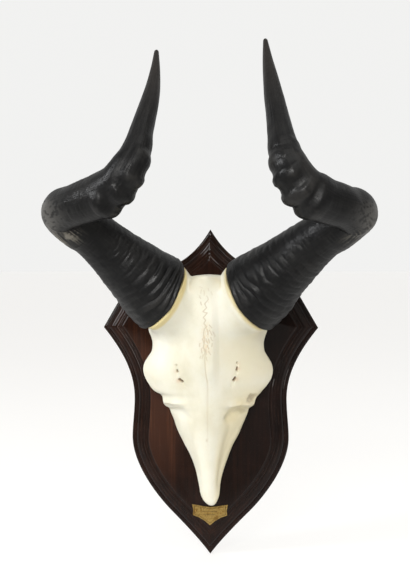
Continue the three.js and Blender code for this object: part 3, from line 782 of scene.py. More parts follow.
places, normals = mesh_places(skull.data)
edges = np.empty(len(skull.data.edges) * 2, int)
skull.data.edges.foreach_get("vertices", edges)
edges = edges.reshape(-1, 2)
melt = eased(places[:, 2], 28, 50) * (1 - eased(places[:, 2], 128, 137)) * eased(-places[:, 1], 50, 66)
for along, beside, low_side in from_seats(places):
    melt *= 1 - (1 - eased(beside, 46.5, 50)) * eased(along, -12, -7)
near = melt > 0
touched = near[edges[:, 0]] | near[edges[:, 1]]
first, second = edges[touched].T
size = len(places)
neighbours = np.maximum(np.bincount(first, minlength=size) + np.bincount(second, minlength=size), 1)
for _ in range(MELT_ROUNDS):
    for axis in range(3):
        line = places[:, axis]
        total = np.bincount(first, line[second], size) + np.bincount(second, line[first], size)
        places[:, axis] = line + melt * (total / neighbours - line)
# The sawn top edge of the brow is slightly arched.
places[:, 2] -= 2.4 * np.clip(places[:, 0] / 20, -1.3, 1.3) ** 2 * eased(places[:, 2], 118, 137)
moved_to(skull.data, places)

# The brow seam: a wandering main line, and finer teeth beside it lower down.
BROW_SEAM = [
    (2.5, 115.7, 0.5), (4.3, 111.8, 0.8), (-0.1, 106.6, 0.9), (2.2, 102.9, 0.9), (-2.0, 98.5, 1.0),
    (2.7, 97.0, 1.0), (-1.5, 92.3, 1.0), (1.1, 89.4, 1.0), (-1.1, 85.8, 0.9), (2.1, 82.5, 0.9),
    (-0.7, 79.2, 0.85), (-1.4, 73.0, 0.85), (-0.2, 66.6, 0.85), (-1.8, 60.7, 0.85), (-0.2, 52.9, 0.85),
    (-0.6, 44.0, 0.6), (-0.2, 32.2, 0.8), (1.5, 18.9, 0.9),
]
# Short strokes beside the main line: start and end of each.
SIDE_TEETH = [
    ((-5.3, 125.7), (-2.2, 124.3)), ((-3.4, 122.5), (-4.0, 118.4)), ((-0.8, 121.7), (-0.4, 116.4)),
    ((7.2, 120.0), (8.4, 116.5)), ((4.0, 123.7), (4.7, 121.0)), ((-5.3, 115.7), (-4.2, 112.9)),
    ((-4.4, 108.8), (-3.4, 105.9)), ((2.5, 79.4), (3.3, 73.3)), ((4.9, 78.4), (7.4, 73.1)),
    ((8.4, 76.5), (10.6, 71.4)), ((-2.6, 68.6), (-1.4, 62.3)), ((0.9, 69.0), (2.5, 63.9)),
    ((3.5, 68.6), (4.7, 64.5)), ((-1.2, 62.3), (-2.6, 58.3)), ((2.5, 61.7), (3.7, 57.6)),
    ((-4.0, 57.7), (-3.4, 52.6)), ((0.7, 57.2), (1.1, 50.9)), ((3.5, 54.8), (5.7, 50.9)),
    ((-2.4, 50.7), (-3.6, 46.5)), ((0.9, 47.7), (1.9, 43.8)), ((-4.8, 48.9), (-5.4, 45.9)),
    ((6.1, 70.6), (7.8, 66.6)), ((-5.4, 63.6), (-5.7, 59.9)), ((7.4, 63.7), (6.8, 59.8)),
    ((4.9, 84.3), (7.4, 81.2)),
]
seam_chance = np.random.default_rng(11)
brow_seam = []
for (x0, z0, _), (x1, z1, _) in zip(BROW_SEAM[:-1], BROW_SEAM[1:]):
    steps = max(1, int(math.hypot(x1 - x0, z1 - z0) / 1.3))
    sway = 0.3 if z0 > 45 else 0.12
    for k in range(steps):
        share = k / steps
        off = seam_chance.uniform(-sway, sway)
        brow_seam.append((x0 + share * (x1 - x0) + off, z0 + share * (z1 - z0) + 0.5 * off))
brow_seam.append(BROW_SEAM[-1][:2])
side_teeth = []
for start, end in SIDE_TEETH:
    middle = [(s + e) / 2 + seam_chance.uniform(-0.5, 0.5) for s, e in zip(start, end)]
    side_teeth.append([start, tuple(middle), end])
# Across each cheek: its side, the ridge below the tear pit and the hollow under it.
CHEEKS = [
    (-1, [(-27.0, -8.6), (-44.0, -8.3), (-52.0, -9.4)], [(-46.0, -14.0), (-30.5, -18.5), (-21.5, -25.0)]),
    (1, [(27.0, -10.9), (38.0, -8.5), (51.6, -12.3)], [(48.0, -16.5), (38.0, -17.5), (24.3, -25.5)]),
]
NASAL_SEAM = [(1.7, 19.1), (1.1, -10), (0.5, -50), (1.0, -80)]
# Vessel holes: where each opens from and to, its radius and depth, and where its groove runs out.
VESSEL_HOLES = [
    ((-33.6, 37.6), (-33.4, 36.4), 0.75, 0.8, (-33.0, 33.0)),
    ((-33.2, 31.2), (-32.4, 29.6), 0.95, 2.0, (-31.8, 26.0)),
    ((-30.4, 20.6), (-27.4, 18.2), 1.30, 3.2, (-23.0, 11.6)),
    ((34.5, 40.8), (34.4, 39.8), 0.70, 1.2, (34.4, 37.4)),
    ((34.7, 34.8), (34.2, 31.8), 0.95, 2.6, (34.0, 28.4)),
    ((32.5, 23.0), (30.8, 19.8), 1.15, 3.0, (28.6, 13.4)),
]
# Tear pits beside the brow: x, z, radius, depth and how dark they are painted, as painted shade in them.
TEAR_PITS = [(50.6, -2.8, 5.0, 3.4, 0.44), (-51.5, -2.0, 2.8, 1.2, 0.0)]


def distance_to_run(x, z, run):
    """Distance of each place to a bent line in the front view."""
    best = np.full(len(x), 1e9)
    for (x0, z0), (x1, z1) in zip(run[:-1], run[1:]):
        dx, dz = x1 - x0, z1 - z0
        t = np.clip(((x - x0) * dx + (z - z0) * dz) / (dx * dx + dz * dz + 1e-9), 0, 1)
        best = np.minimum(best, np.hypot(x - x0 - t * dx, z - z0 - t * dz))
    return best


# Finer faces where the seam and the vessel holes are worked in, halved twice.
for reach in (1.6, 0.9):
    fine = bmesh.new()
    fine.from_mesh(skull.data)
    faces = [f for f in fine.faces if f.normal.y < -0.1]
    middles = np.array([f.calc_center_median() for f in faces]) * 1000
    fx, fy, fz = middles.T
    close = (np.abs(fx - 1) < 5.6 + reach) & (fz > 46) & (fz < 87)
    close |= distance_to_run(fx, fz, brow_seam) < 2.4 * reach
    close |= (np.abs(fx) < 5 + reach) & (fz > 87) & (fz < 124)
    for start, end, radius, depth, groove_end in VESSEL_HOLES:
        close |= distance_to_run(fx, fz, [start, end]) < radius + 1.9 * reach
    close &= fy < -45
    chosen = {edge for face, near in zip(faces, close) if near for edge in face.edges}
    bmesh.ops.subdivide_edges(fine, edges=list(chosen), cuts=1, use_grid_fill=True)
    fine.to_mesh(skull.data)
    fine.free()

places, normals = mesh_places(skull.data)
px, py, pz = places.T
front = eased(-normals[:, 1], 0.15, 0.5)
z_inside = np.clip(pz, -131, 138)
from_middle = px - skull_lean(z_inside)
across = np.abs(from_middle) / np.where(from_middle < 0, skull_value(z_inside, 1), skull_value(z_inside, 2))
push = np.zeros(len(places))
# Slow swellings of grown bone.
push += 0.30 * cloud(places, 17, 3) + 0.12 * cloud(places, 6, 4)
# The brow is raised in the middle and falls away more sharply on its right.
brow = eased(pz, 2, 40) * (1 - eased(pz, 84, 116))
push += front * brow * 3.0 * (1 - eased(px, 7, 16)) * eased(px, -40, -8)
# The nose has a rounded bridge, a long flute down each cheek and a thin outer rim.
nose = eased(pz, -126, -104) * (1 - eased(pz, -22, -8))
bridge = 1.0 * np.exp(-((across / 0.36) ** 2))
flute_place = np.interp(pz, [-115, -90, -45, -20], [0.84, 0.82, 0.74, 0.70])
flute_deep = np.interp(pz, [-122, -95, -45, -15], [0.4, 1.5, 3.7, 3.0]) * np.where(px > 0, 1.0, 0.5)
flute_wide = np.where(across < flute_place, 0.22, 0.28)
push += front * nose * (bridge - flute_deep * np.exp(-(((across - flute_place) / flute_wide) ** 2)))
# A ridge crosses each cheek below the tear pit, with a hollow under it.
for way, ridge_run, hollow_run in CHEEKS:
    cheek_ridge = distance_to_run(px, pz, ridge_run)
    below = eased(np.interp(px, *np.array(sorted(ridge_run)).T) - pz, -0.4, 1.8)
    on_cheek = eased(way * px, 17, 38) * (1 - eased(cheek_ridge, 3.0, 12.0))
    push += front * ((1.3 + 0.5 * way) * on_cheek * np.exp(-((cheek_ridge / (1.8 - 0.4 * way)) ** 2)))
    push -= front * (1.6 + 0.9 * way) * below * on_cheek
    push -= front * (2.6 + 1.4 * way) * np.exp(-((distance_to_run(px, pz, hollow_run) / 4.6) ** 2))
    # The brow rises gently over each orbit and dips between it and the crest.
    brow_swell = np.exp(-(((px - way * 58) / 15) ** 2) - (((pz - 33) / 18) ** 2))
    brow_dip = np.exp(-(((px - way * 27) / 13) ** 2) - (((pz - 10) / 22) ** 2))
    push += front * (1.2 * brow_swell - 1.0 * brow_dip)
seam = distance_to_run(px, pz, brow_seam)
for tooth in side_teeth:
    seam = np.minimum(seam, distance_to_run(px, pz, tooth))
seam_table = np.array(BROW_SEAM[::-1])
seam_deep = np.interp(pz, seam_table[:, 1], seam_table[:, 2]) * (py < -45) * front
push -= 0.34 * np.exp(-((seam / 0.38) ** 2)) * seam_deep
nasal = distance_to_run(px, pz, NASAL_SEAM)
in_nasal = np.exp(-((nasal / 0.8) ** 2)) * front * (pz < 20) * eased(pz, -84, -10)
push -= 0.3 * in_nasal
stain = np.zeros(len(places))
# Painted shade: the vessel holes and tear pits are painted dark, the deeper holes darker.
pit_shade = np.zeros(len(places))
for start, end, radius, depth, groove_end in VESSEL_HOLES:
    middle = distance_to_run(px, pz, [start, end])
    groove = distance_to_run(px, pz, [end, groove_end])
    at_hole = np.exp(-((middle / radius) ** 3)) * front
    push -= depth * at_hole + 0.8 * np.exp(-((groove / 1.5) ** 2)) * front
    pit_shade = np.maximum(pit_shade, at_hole * min(1.0, depth / 3))
    side_stain = np.hypot(px - start[0] + 1.2 * np.sign(-start[0]), pz - start[1] + 1.5)
    stain = np.maximum(stain, np.exp(-((side_stain / (radius * 2.2)) ** 2)) * front * min(1.0, depth / 3.2))
for pit_x, pit_z, radius, depth, dark in TEAR_PITS:
    ragged = radius * (1 + 0.25 * cloud(places, 3.5, 31))
    at_pit = np.exp(-((np.hypot(px - pit_x, pz - pit_z) / ragged) ** 4)) * front
    push -= depth * at_pit
    pit_shade = np.maximum(pit_shade, dark * at_pit * (1 + 0.55 * cloud(places, 1.7, 32)))
# Everything but the flat sawn back is moved.
moving = eased(SKULL_BACK - py, 0.6, 3.0)
places += normals * (push * moving)[:, None]
places[:, 1] = np.where(places[:, 1] > SKULL_BACK - 0.5, SKULL_BACK, places[:, 1])
moved_to(skull.data, places)
skull.data.shade_smooth()

# The bone just under each horn is left yellow by the horn that covered it, and is painted darker and more
# olive there as painted shade under the horn's rim.
under_horn = np.zeros(len(places))
wander = 0.6 * cloud(places, 9, 21)
for side, (along, beside, low_side) in zip(seats, from_seats(places)):
    wide, strong = (1.0, 1.0) if side == "left" else (0.45, 0.75)
    width = (1.8 + 4.6 * np.clip(low_side, 0, 1)) * wide
    reach = HORN_LINES[side][0][3] + 2.6
    band = eased(along, -width - 2.2 + wander, -width + 1.4 + wander) * strong
    band *= (beside > 30) * (1 - eased(beside, reach, reach + 1.6))
    under_horn = np.maximum(under_horn, band)
# Painted shade: the side turned from the light of the window is painted yellower, the colour its shade takes.
shade_tint = eased(normals[:, 0], 0.18, 0.62) * eased(px, 2, 12) * (1 - eased(pz, 0, 30))
shade_tint = np.maximum(shade_tint, 0.6 * eased(normals[:, 0], 0.10, 0.45) * eased(px, 2, 14) * eased(pz, 0, 30))
seam_tint = np.exp(-((seam / 0.55) ** 2)) * seam_deep
seam_blush = np.exp(-(((px - 1) / 5.5) ** 2)) * eased(pz, 44, 58) * (1 - eased(pz, 78, 92)) * front
nasal_mark = np.exp(-((np.hypot(px + 0.7, (pz + 49.9) * 0.5) / 0.9) ** 2)) * front
for label, values in (
    ("seam_line", np.maximum(seam_tint, 0.5 * in_nasal + 0.8 * nasal_mark)),
    ("seam_blush", seam_blush),
    ("pit_shade", pit_shade),
    ("stain", stain),
    ("under_horn", under_horn),
    ("shade_tint", shade_tint),
):
    mark(skull.data, label, np.clip(values, 0, 1))

bone, tree, shader, bone_place = new_material("bleached_bone")
bone_cloud = stretched_noise(tree, bone_place, (24, 24, 16), 4.0, 0.55)
bone_fleck = stretched_noise(tree, bone_place, (420, 420, 260), 3.0, 0.6)
bone_pore = stretched_noise(tree, bone_place, (1500, 1500, 620), 2.0, 0.5)
blush_grain = stretched_noise(tree, bone_place, (700, 700, 420), 2.0, 0.6)
blush_share = ranged(tree, blush_grain, 0.42, 0.60, 0.05, 0.62)
clean_bone = ramp(
    tree,
    bone_cloud,
    [(0.32, (0.665, 0.63, 0.49)), (0.48, (0.735, 0.71, 0.585)), (0.66, (0.78, 0.76, 0.655))],
)
bone_colour = layered(
    tree,
    clean_bone,
    [
        (ranged(tree, bone_fleck, 0.60, 0.75, 0.0, 0.28), (0.66, 0.56, 0.36)),
        (ranged(tree, bone_pore, 0.66, 0.74, 0.0, 0.30), (0.50, 0.42, 0.28)),
        # Painted shade: yellower on the side turned from the window.
        (painted(tree, "shade_tint", 0.75), (0.72, 0.64, 0.42)),
        # Yellow left by the horn, with painted shade under its rim.
        (painted(tree, "under_horn", 0.88), (0.60, 0.49, 0.215)),
        (maths(tree, "MULTIPLY", painted(tree, "seam_blush"), blush_share), (0.70, 0.56, 0.36)),
        (painted(tree, "seam_line", 0.56), (0.42, 0.31, 0.18)),
        (painted(tree, "stain", 0.55), (0.62, 0.42, 0.27)),
        # Painted shade in the vessel holes and tear pits.
        (painted(tree, "pit_shade"), (0.23, 0.155, 0.095)),
    ],
)
bone_dust_sizes = {"Place": bone_place, "Patch size": 34.0, "Speck size": 800.0}
bone_dust = node_in(tree, "Group", bone_dust_sizes, node_tree=dust_group)
bone_relief = maths(tree, "MULTIPLY_ADD", bone_pore, -0.8, bone_fleck)
connect(
    tree,
    shader,
    {
        "Base Color": bone_colour,
        "Roughness": ranged(tree, bone_dust.outputs["Patches"], 0.0, 1.0, 0.40, 0.56),
        "Subsurface Weight": 0.12,
        "Subsurface Radius": (0.006, 0.0045, 0.003),
        "Subsurface Scale": 0.5,
        "Specular IOR Level": 0.42,
        "Normal": bump(tree, 0.16, 0.0005, bone_relief),
    },
)
finished(skull, bone)
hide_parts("skull")


# The two horns are hollow black sheaths pushed over the bone stubs. Each is wrinkled in rings at its
# root, bends sharply outwards and forwards, carries heavy knobs on the bend and ends smooth and
# pointed. The undersides of the bends are rubbed pale.
HORN_AROUND = 200
HORN_ALONG = 470
# The hollow in each root, from its floor to the rim: radius and depth.
HOLLOW_STEPS = [(32.6, 26.6), (38.2, 0.6), (38.2, 0.0)]
# Folds round each root: where each ends along the horn, and its height.
ROOT_FOLDS = {
    "left": [
        (5, 1.5), (11, 1.8), (18, 1.9), (26, 1.7), (35, 1.3), (45, 0.9), (57, 0.6), (70, 0.4), (85, 0.25),
    ],
    "right": [
        (7, 0.9), (15, 1.1), (23, 1.3), (31.5, 1.4), (40, 1.4), (48, 1.2), (57, 1.1), (65, 0.9), (74, 1.0),
        (84, 0.8), (94, 0.6), (106, 0.4), (120, 0.3),
    ],
}
# Knobs on the inner side of each bend: place along the horn and height of the surface there.
KNOBS = {
    "left": [
        (205, 0), (213, 1.0), (219, 3.2), (223, 3.7), (226, 2.8), (229, -0.6), (232, -2.0), (235, -0.8),
        (238, 1.3), (241, 1.6), (244, -1.4), (247, -1.7), (250, 0.7), (253, 2.5), (256, 3.1),
        (259, 2.2), (262, 2.1), (265, 2.4), (268, 3.1), (271, 3.7), (274, 3.6), (277, 2.8), (280, 1.6),
        (283, 0.9), (289, 0.9), (295, 0.7), (301, 0.1), (310, -0.2), (318, 0),
    ],
    "right": [
        (208, 0), (218, 1.2), (226, 3.6), (230, 4.5), (232, 4.3), (235, 2.0), (238, 0.0), (241, 2.5),
        (244, 4.1), (247, 3.7), (250, 1.0), (253, 0.6), (256, 1.6), (259, 3.8), (262, 3.9), (265, 1.7),
        (268, 1.0), (271, 1.5), (274, 2.5), (277, 2.7), (280, 2.3), (283, 1.0), (286, 0.4), (289, 0.9),
        (295, 1.0), (298, 0.8), (304, 0.1), (310, -0.2), (318, 0),
    ],
}
# How much fuller or leaner each horn is than round, along its two sides as seen from the front.
SIDE_FILL = {
    "left": (
        [
            (0, -0.3), (32, -0.3), (46, 0.1), (56, 0.9), (70, 0.5), (88, 0.4), (109, 0.1), (119, 1.5),
            (130, 0.9), (144, -1.1), (158, -2.5), (172, -2.7), (186, -1.8), (200, -0.5), (214, 0.1),
            (228, 1.4), (242, 2.8), (252, 3.2), (263, 2.4), (277, 0.9), (312, 1.1), (354, 1.0),
            (375, 0.8), (403, 0.5), (417, 0.1), (436, 0),
        ],
        [
            (0, 0), (8, 0.4), (14, 1.8), (18, 2.8), (25, 2.2), (32, 1.2), (46, 0.5), (60, -0.4),
            (95, -0.8), (125, 0), (330, 0), (354, 0.5), (410, 0.5), (436, 0.3),
        ],
    ),
    "right": (
        [
            (0, 0), (10, 0.8), (16, 2.0), (24, 3.3), (32, 2.3), (46, 1.1), (60, -0.4), (81, -0.9),
            (102, -0.5), (125, 0), (345, 0), (370, 0.6), (403, 0.6), (431, 0.1), (455, 0),
        ],
        [
            (0, 0), (30, -0.8), (46, -1.4), (60, -0.6), (74, 0), (88, 1.1), (98, 0.9), (109, -0.1),
            (116, -0.9), (130, 0.3), (144, -1.3), (155, -2.4), (163, -0.8), (172, -0.8), (186, -2.2),
            (200, -1.2), (214, -1.0), (221, 0.2), (228, 1.4), (242, 1.9), (256, 2.5), (270, 2.8),
            (284, 2.0), (291, 2.0), (298, 0.9), (319, 0.5), (333, 0.3), (347, 0.9), (361, 1.5),
            (375, 1.0), (389, 0.5), (410, 0.3), (455, 0),
        ],
    ),
}
# What tells the two horns apart. The wander and detail of their creases, the height of their folds,
# the wrinkles on the bend, how far the knobs run round it, how full the elbow is low down, where and
# how wide the underside is worn, which way it faces, how pale and ridged it is, and the pitted rim.
HORN_TRAITS = {
    "left": {
        "wander": (2.6, 1.6),
        "folds": 1.7,
        "bend_wrinkles": (0.22, 0.24),
        "knob_reach": (0.30, 0.88),
        "elbow_low": 2.5,
        "worn_at": (0.316, 0.028),
        "worn_way": (-0.12, -0.55, -0.83),
        "worn_pale": 0.72,
        "worn_ridges": 0.9,
        "rim_reach": (0.50, 0.84),
        "collar": 1,
    },
    "right": {
        "wander": (3.6, 2.3),
        "folds": 1.35,
        "bend_wrinkles": (0.05, 0.05),
        "knob_reach": (-0.30, 0.78),
        "elbow_low": 1.2,
        "worn_at": (0.342, 0.030),
        "worn_way": (0.40, -0.35, -0.85),
        "worn_pale": 0.42,
        "worn_ridges": 0.3,
        "rim_reach": (0.58, 0.90),
        "collar": 0,
    },
}


def horn_sheath(side, way, seed):
    """A horn's points, faces and surface masks."""
    traits = HORN_TRAITS[side]
    line, thick, length = horn_line(side)
    ways = unit(np.gradient(line, axis=0))
    side_way = np.array([0.0, -1.0, 0.0])
    outs = []
    for here in ways:
        side_way = unit(side_way - here * side_way.dot(here))
        outs.append(side_way)
    share = np.linspace(0, 1, HORN_ALONG) ** 0.96
    knots = np.arange(len(line))
    pick = share * knots[-1]
    centre = sampled(pick, knots, line)
    ahead = unit(sampled(pick, knots, ways))
    out = sampled(pick, knots, np.array(outs))
    out = unit(out - ahead * np.sum(out * ahead, axis=1)[:, None])
    beside = np.cross(ahead, out)
    radius = np.interp(pick, knots, thick)
    to_tip = np.clip(1 - (1 - share) * length / 3.2, 0, 1)
    radius *= np.sqrt(1 - 0.97 * to_tip**2)

    turn = np.linspace(0, 2 * math.pi, HORN_AROUND, endpoint=False)
    face_out = (
        np.cos(turn)[None, :, None] * out[:, None, :] + np.sin(turn)[None, :, None] * beside[:, None, :]
    ).reshape(-1, 3)
    s = np.repeat(share, HORN_AROUND)
    base = np.repeat(radius, HORN_AROUND)
    angle = np.tile(turn, HORN_ALONG)
    along = s * length
    straight = np.column_stack([base * np.cos(angle), base * np.sin(angle), along])
    circle = np.column_stack([np.cos(angle), np.sin(angle)])

    def round_the_horn(detail, level, pattern):
        """Soft random values round the horn, the same all along it."""
        return cloud(np.column_stack([circle * detail, np.full(len(s), level)]), 1, pattern)

    # Folds round the root with sharp creases between them, faint on the top of the horn.
    swell = np.zeros(len(s))
    fold_share = 1 - 0.8 * eased(face_out[:, 2], 0.4, 0.85)
    fold_share *= 1 - 0.35 * eased(face_out @ np.array([way * 0.65, 0.2, -0.75]), 0.5, 0.9)
    low_crease = 0.4 * round_the_horn(2.2, 0.0, seed)
    wander, detail = traits["wander"]
    for number, (place, height) in enumerate(ROOT_FOLDS[side]):
        high_crease = place + wander * round_the_horn(detail, 0.45 * number, seed + 1)
        phase = np.clip((along - low_crease) / np.maximum(high_crease - low_crease, 1.5), 0, 1)
        uneven = 0.85 + 0.6 * round_the_horn(2.1, 1.7 * number, seed + 2)
        swell += traits["folds"] * height * uneven * fold_share * (4 * phase * (1 - phase)) ** 0.6
        low_crease = high_crease
    wrinkle_place = np.column_stack([straight[:, 0], straight[:, 1], along * 3.4 + 0.4 * straight[:, 0]])
    wrinkle_high = [0.40, 0.34, 0.12, *traits["bend_wrinkles"], 0.08, 0.04]
    wrinkle_high = np.interp(along, [0, 90, 150, 180, 200, 230, 300], wrinkle_high)
    swell += cloud(wrinkle_place, 7.5, seed + 7) * wrinkle_high
    swell += 0.45 * cloud(straight, 24, seed + 8) * np.interp(s, [0, 0.7, 1.0], [1, 0.8, 0.25])

    # Knobs on the side that looks in and down, running out over the front.
    aside = np.cross(ahead, np.array([-0.07, 0.997, -0.026]))
    aside = np.repeat(unit(aside), HORN_AROUND, axis=0)
    first_side = np.sum(face_out * aside, axis=1)
    knob_side = way * first_side
    facing = eased(0.8 * knob_side - 0.6 * face_out[:, 1], *traits["knob_reach"])
    sway = 2.4 * (1 - eased(knob_side, 0.2, 0.9)) * round_the_horn(1.8, 3.1, seed + 90)
    swell += facing * smooth_through(*np.array(KNOBS[side]).T, np.clip(along + sway, 205, 318))
    for fill, weight in zip(SIDE_FILL[side], (first_side, -first_side)):
        swell += smooth_through(*np.array(fill).T, along) * eased(weight, 0.1, 0.9)
    # Fine lengthwise fibres show more and more towards the tip.
    fibre = cloud(np.column_stack([angle * 9, np.zeros(len(s)), along / 42]), 1, seed + 9)
    swell += fibre * np.interp(s, [0, 0.4, 0.7, 1.0], [0.03, 0.06, 0.15, 0.06])
    # Each elbow is full towards its top and its low outer side.
    elbow = np.exp(-(((s - 0.362) / 0.045) ** 2))
    swell += 1.1 * elbow * np.clip(face_out @ np.array([way * 0.75, 0.0, 0.66]), 0, 1)
    elbow_low = np.exp(-(((s - 0.325) / 0.055) ** 2))
    swell += traits["elbow_low"] * elbow_low * np.clip(face_out @ np.array([way * 0.6, 0.1, -0.8]), 0, 1)
    # Under the elbow, lengthwise ridges are rubbed through to the pale layers of the horn.
    ridges = cloud(np.column_stack([angle * 19, np.zeros(len(s)), along / 20]), 1, seed + 12)
    worn_place, worn_wide = traits["worn_at"]
    under = np.exp(-(((s - worn_place) / worn_wide) ** 2))
    under *= eased(face_out @ np.array(traits["worn_way"]), 0.68, 0.96)
    swell += traits["worn_ridges"] * under * ridges
    worn = traits["worn_pale"] * under * eased(ridges + 0.5 * cloud(straight, 2.6, seed + 40), -0.30, 0.55)
    # The outer rim of the elbow is worn grey and pitted.
    rim_side = eased(face_out @ np.array([way * 0.90, -0.20, -0.38]), *traits["rim_reach"])
    pitted = np.exp(-(((s - 0.352) / 0.05) ** 2)) * rim_side
    pits = cloud(straight, 1.9, seed + 30) + 0.5 * cloud(straight, 5, seed + 31)
    swell -= 0.45 * pitted * eased(pits, 0.1, 0.6)
    # The rim on the bone is uneven, thin and a little chipped, with a thick collar on the left one's top.
    rim = np.exp(-along / 2.2)
    rim_wave = round_the_horn(3.2, 0.0, seed + 15)
    swell += rim * (-0.7 + 0.5 * rim_wave)
    collar = traits["collar"] * np.exp(-(((along - 4.0) / 3.2) ** 2) - (((angle - 1.62) / 0.42) ** 2))
    swell += collar * (0.7 + 0.8 * cloud(straight, (4, 4, 2), seed + 33))

    slim = np.minimum(1, base / 12)
    slant = rim_slant(side, way, face_out) * np.exp(-((along / 16) ** 2))
    forward = slant + rim * 0.35 * np.clip(rim_wave, -0.4, 1)
    points = np.repeat(centre, HORN_AROUND, axis=0) + face_out * (base + swell * slim)[:, None]
    points += np.repeat(ahead, HORN_AROUND, axis=0) * forward[:, None]
    # The hollow that takes the bone stub, and the closed tip.
    first_out = face_out[:HORN_AROUND]
    rings = []
    for ring_radius, depth in HOLLOW_STEPS:
        back = depth + rim_slant(side, way, first_out) * (depth < 5)
        rings.append(centre[0] + ahead[0] * back[:, None] + ring_radius * first_out)
    rings += list(points.reshape(HORN_ALONG, HORN_AROUND, 3))
    in_hollow = len(HOLLOW_STEPS) * HORN_AROUND
    masks = {
        "worn": worn,
        "raised": np.clip(swell / 3.0, -1, 1) * 0.5 + 0.5,
        "rim": rim * (0.5 + 0.5 * rim_wave) + 0.7 * collar * rim,
        "pitted": pitted * (1 - 0.75 * eased(pits, -0.1, 0.5)),
        "share": s,
    }
    for label, values in masks.items():
        masks[label] = np.concatenate([np.full(in_hollow, float(label == "rim")), np.clip(values, 0, 1)])
    fibre_place = np.vstack([np.zeros((in_hollow, 3)), straight * 0.001])
    return *closed_loft(rings), masks, fibre_place


horn_stuff, tree, shader, horn_place = new_material("black_horn")
fibre_place = node_in(tree, "Attribute", attribute_name="fibre_place").outputs["Vector"]
fibres = stretched_noise(tree, fibre_place, (620, 620, 22), 4.0, 0.6)
ring_lines = stretched_noise(tree, fibre_place, (60, 60, 560), 3.0, 0.6, 0.4)
horn_cloud = stretched_noise(tree, horn_place, (30, 30, 30), 4.0, 0.6)
plain_horn = ramp(
    tree,
    maths(tree, "MULTIPLY_ADD", horn_cloud, 0.5, maths(tree, "MULTIPLY", fibres, 0.5)),
    [(0.34, (0.0030, 0.0031, 0.0034)), (0.52, (0.0062, 0.0061, 0.0062)), (0.68, (0.0125, 0.0118, 0.0112))],
)
rub = ranged(tree, painted(tree, "raised"), 0.62, 1.0, 0.0, 0.45)
horn_colour = layered(
    tree,
    plain_horn,
    [
        (ranged(tree, painted(tree, "share"), 0.70, 1.0, 0.0, 0.45), (0.036, 0.030, 0.026)),
        (maths(tree, "MULTIPLY", rub, ranged(tree, horn_cloud, 0.45, 0.62)), (0.036, 0.034, 0.032)),
        (painted(tree, "pitted", 0.72), (0.125, 0.120, 0.112)),
        (painted(tree, "worn", 0.9), (0.25, 0.23, 0.19)),
        (ranged(tree, painted(tree, "rim"), 0.72, 1.0, 0.0, 0.5), (0.10, 0.085, 0.065)),
    ],
)
horn_dust_sizes = {"Place": horn_place, "Patch size": 40.0, "Speck size": 700.0}
horn_dust = node_in(tree, "Group", horn_dust_sizes, node_tree=dust_group)
horn_relief = bump(tree, 0.42, 0.0008, maths(tree, "MULTIPLY_ADD", ring_lines, 0.7, fibres))
connect(
    tree,
    shader,
    {
        "Base Color": horn_colour,
        "Roughness": 0.6,
        "Specular IOR Level": 0.0,
        "Coat Weight": 0.44,
        "Coat Roughness": ranged(tree, horn_dust.outputs["Patches"], 0.0, 1.0, 0.32, 0.46),
        "Normal": horn_relief,
        "Coat Normal": horn_relief,
    },
)
for side, way, seed in (("left", -1, 41), ("right", 1, 77)):
    points, faces, masks, grain_places = horn_sheath(side, way, seed)
    horn = new_piece("horn_sheath_" + side, points, faces)
    for label, values in masks.items():
        mark(horn.data, label, values)
    fibre_mark = horn.data.attributes.new("fibre_place", "FLOAT_VECTOR", "POINT")
    fibre_mark.data.foreach_set("vector", grain_places.ravel())
    finished(horn, horn_stuff)
    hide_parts("horn_" + side)


# The name plate is thin sheet brass, cut to follow the shield's toe, with a bevelled edge and a
# scribed border. It is tarnished, bears two short plain rules and is held by two small brass pins.
PLATE_BACK = -20.3
PLATE_THICK = 1.2
PLATE_HALF = [
    (0, -133.2), (7, -132.6), (14, -131.4), (21.2, -130.4), (20.3, -134.2), (19.7, -138), (20.3, -143.2),
    (12.5, -146.2), (5.8, -150.2), (0, -155.2),
]
PLATE_STEPS = [(0, 0), (0, 0.75), (0.5, 1.2), (1.7, 1.2), (1.85, 1.03), (2.15, 1.03), (2.3, 1.2)]
# The two scribed rules: half length and height up the board, then half width and depth of the cut.
PLATE_RULES = [(9.0, -138.6), (7.0, -142.4)]
RULE_HALF = 0.35
RULE_DEEP = 0.2
PLATE_PIN_HOLE = [(0.75, -1), (0.75, 3)]
# The plate sits a little right of the middle.
PLATE_LEAN = 0.6


def plate_ring(inset):
    """The plate's outline moved inwards, with mitred corners."""
    right = np.array(PLATE_HALF, float)
    outline = np.vstack([right, right[1:-1][::-1] * [-1, 1]])
    moved = []
    for k, here in enumerate(outline):
        before = here - outline[k - 1]
        after = outline[(k + 1) % len(outline)] - here
        n0 = np.array([before[1], -before[0]]) / np.linalg.norm(before)
        n1 = np.array([after[1], -after[0]]) / np.linalg.norm(after)
        both = (n0 + n1) / (1 + n0.dot(n1))
        moved.append(here + both * inset)
    return np.array(moved)


plate_rings = []
for inset, height in PLATE_STEPS:
    ring = plate_ring(inset)
    depth = np.full(len(ring), PLATE_BACK - height)
    plate_rings.append(np.column_stack([ring[:, 0] + PLATE_LEAN, depth, ring[:, 1]]))
plate = new_piece("brass_plate", *closed_loft(plate_rings), smooth=False)
plate_front = PLATE_BACK - PLATE_THICK
plate_cuts = [
    block((-half, plate_front - 1, z - RULE_HALF), (half, plate_front + RULE_DEEP, z + RULE_HALF))
    for half, z in PLATE_RULES
]
plate_cuts += [turned(PLATE_PIN_HOLE, 20, (x, plate_front, PIN_Z), FROM_FRONT) for x in (-PIN_X, PIN_X)]
cut_out(plate, plate_cuts)

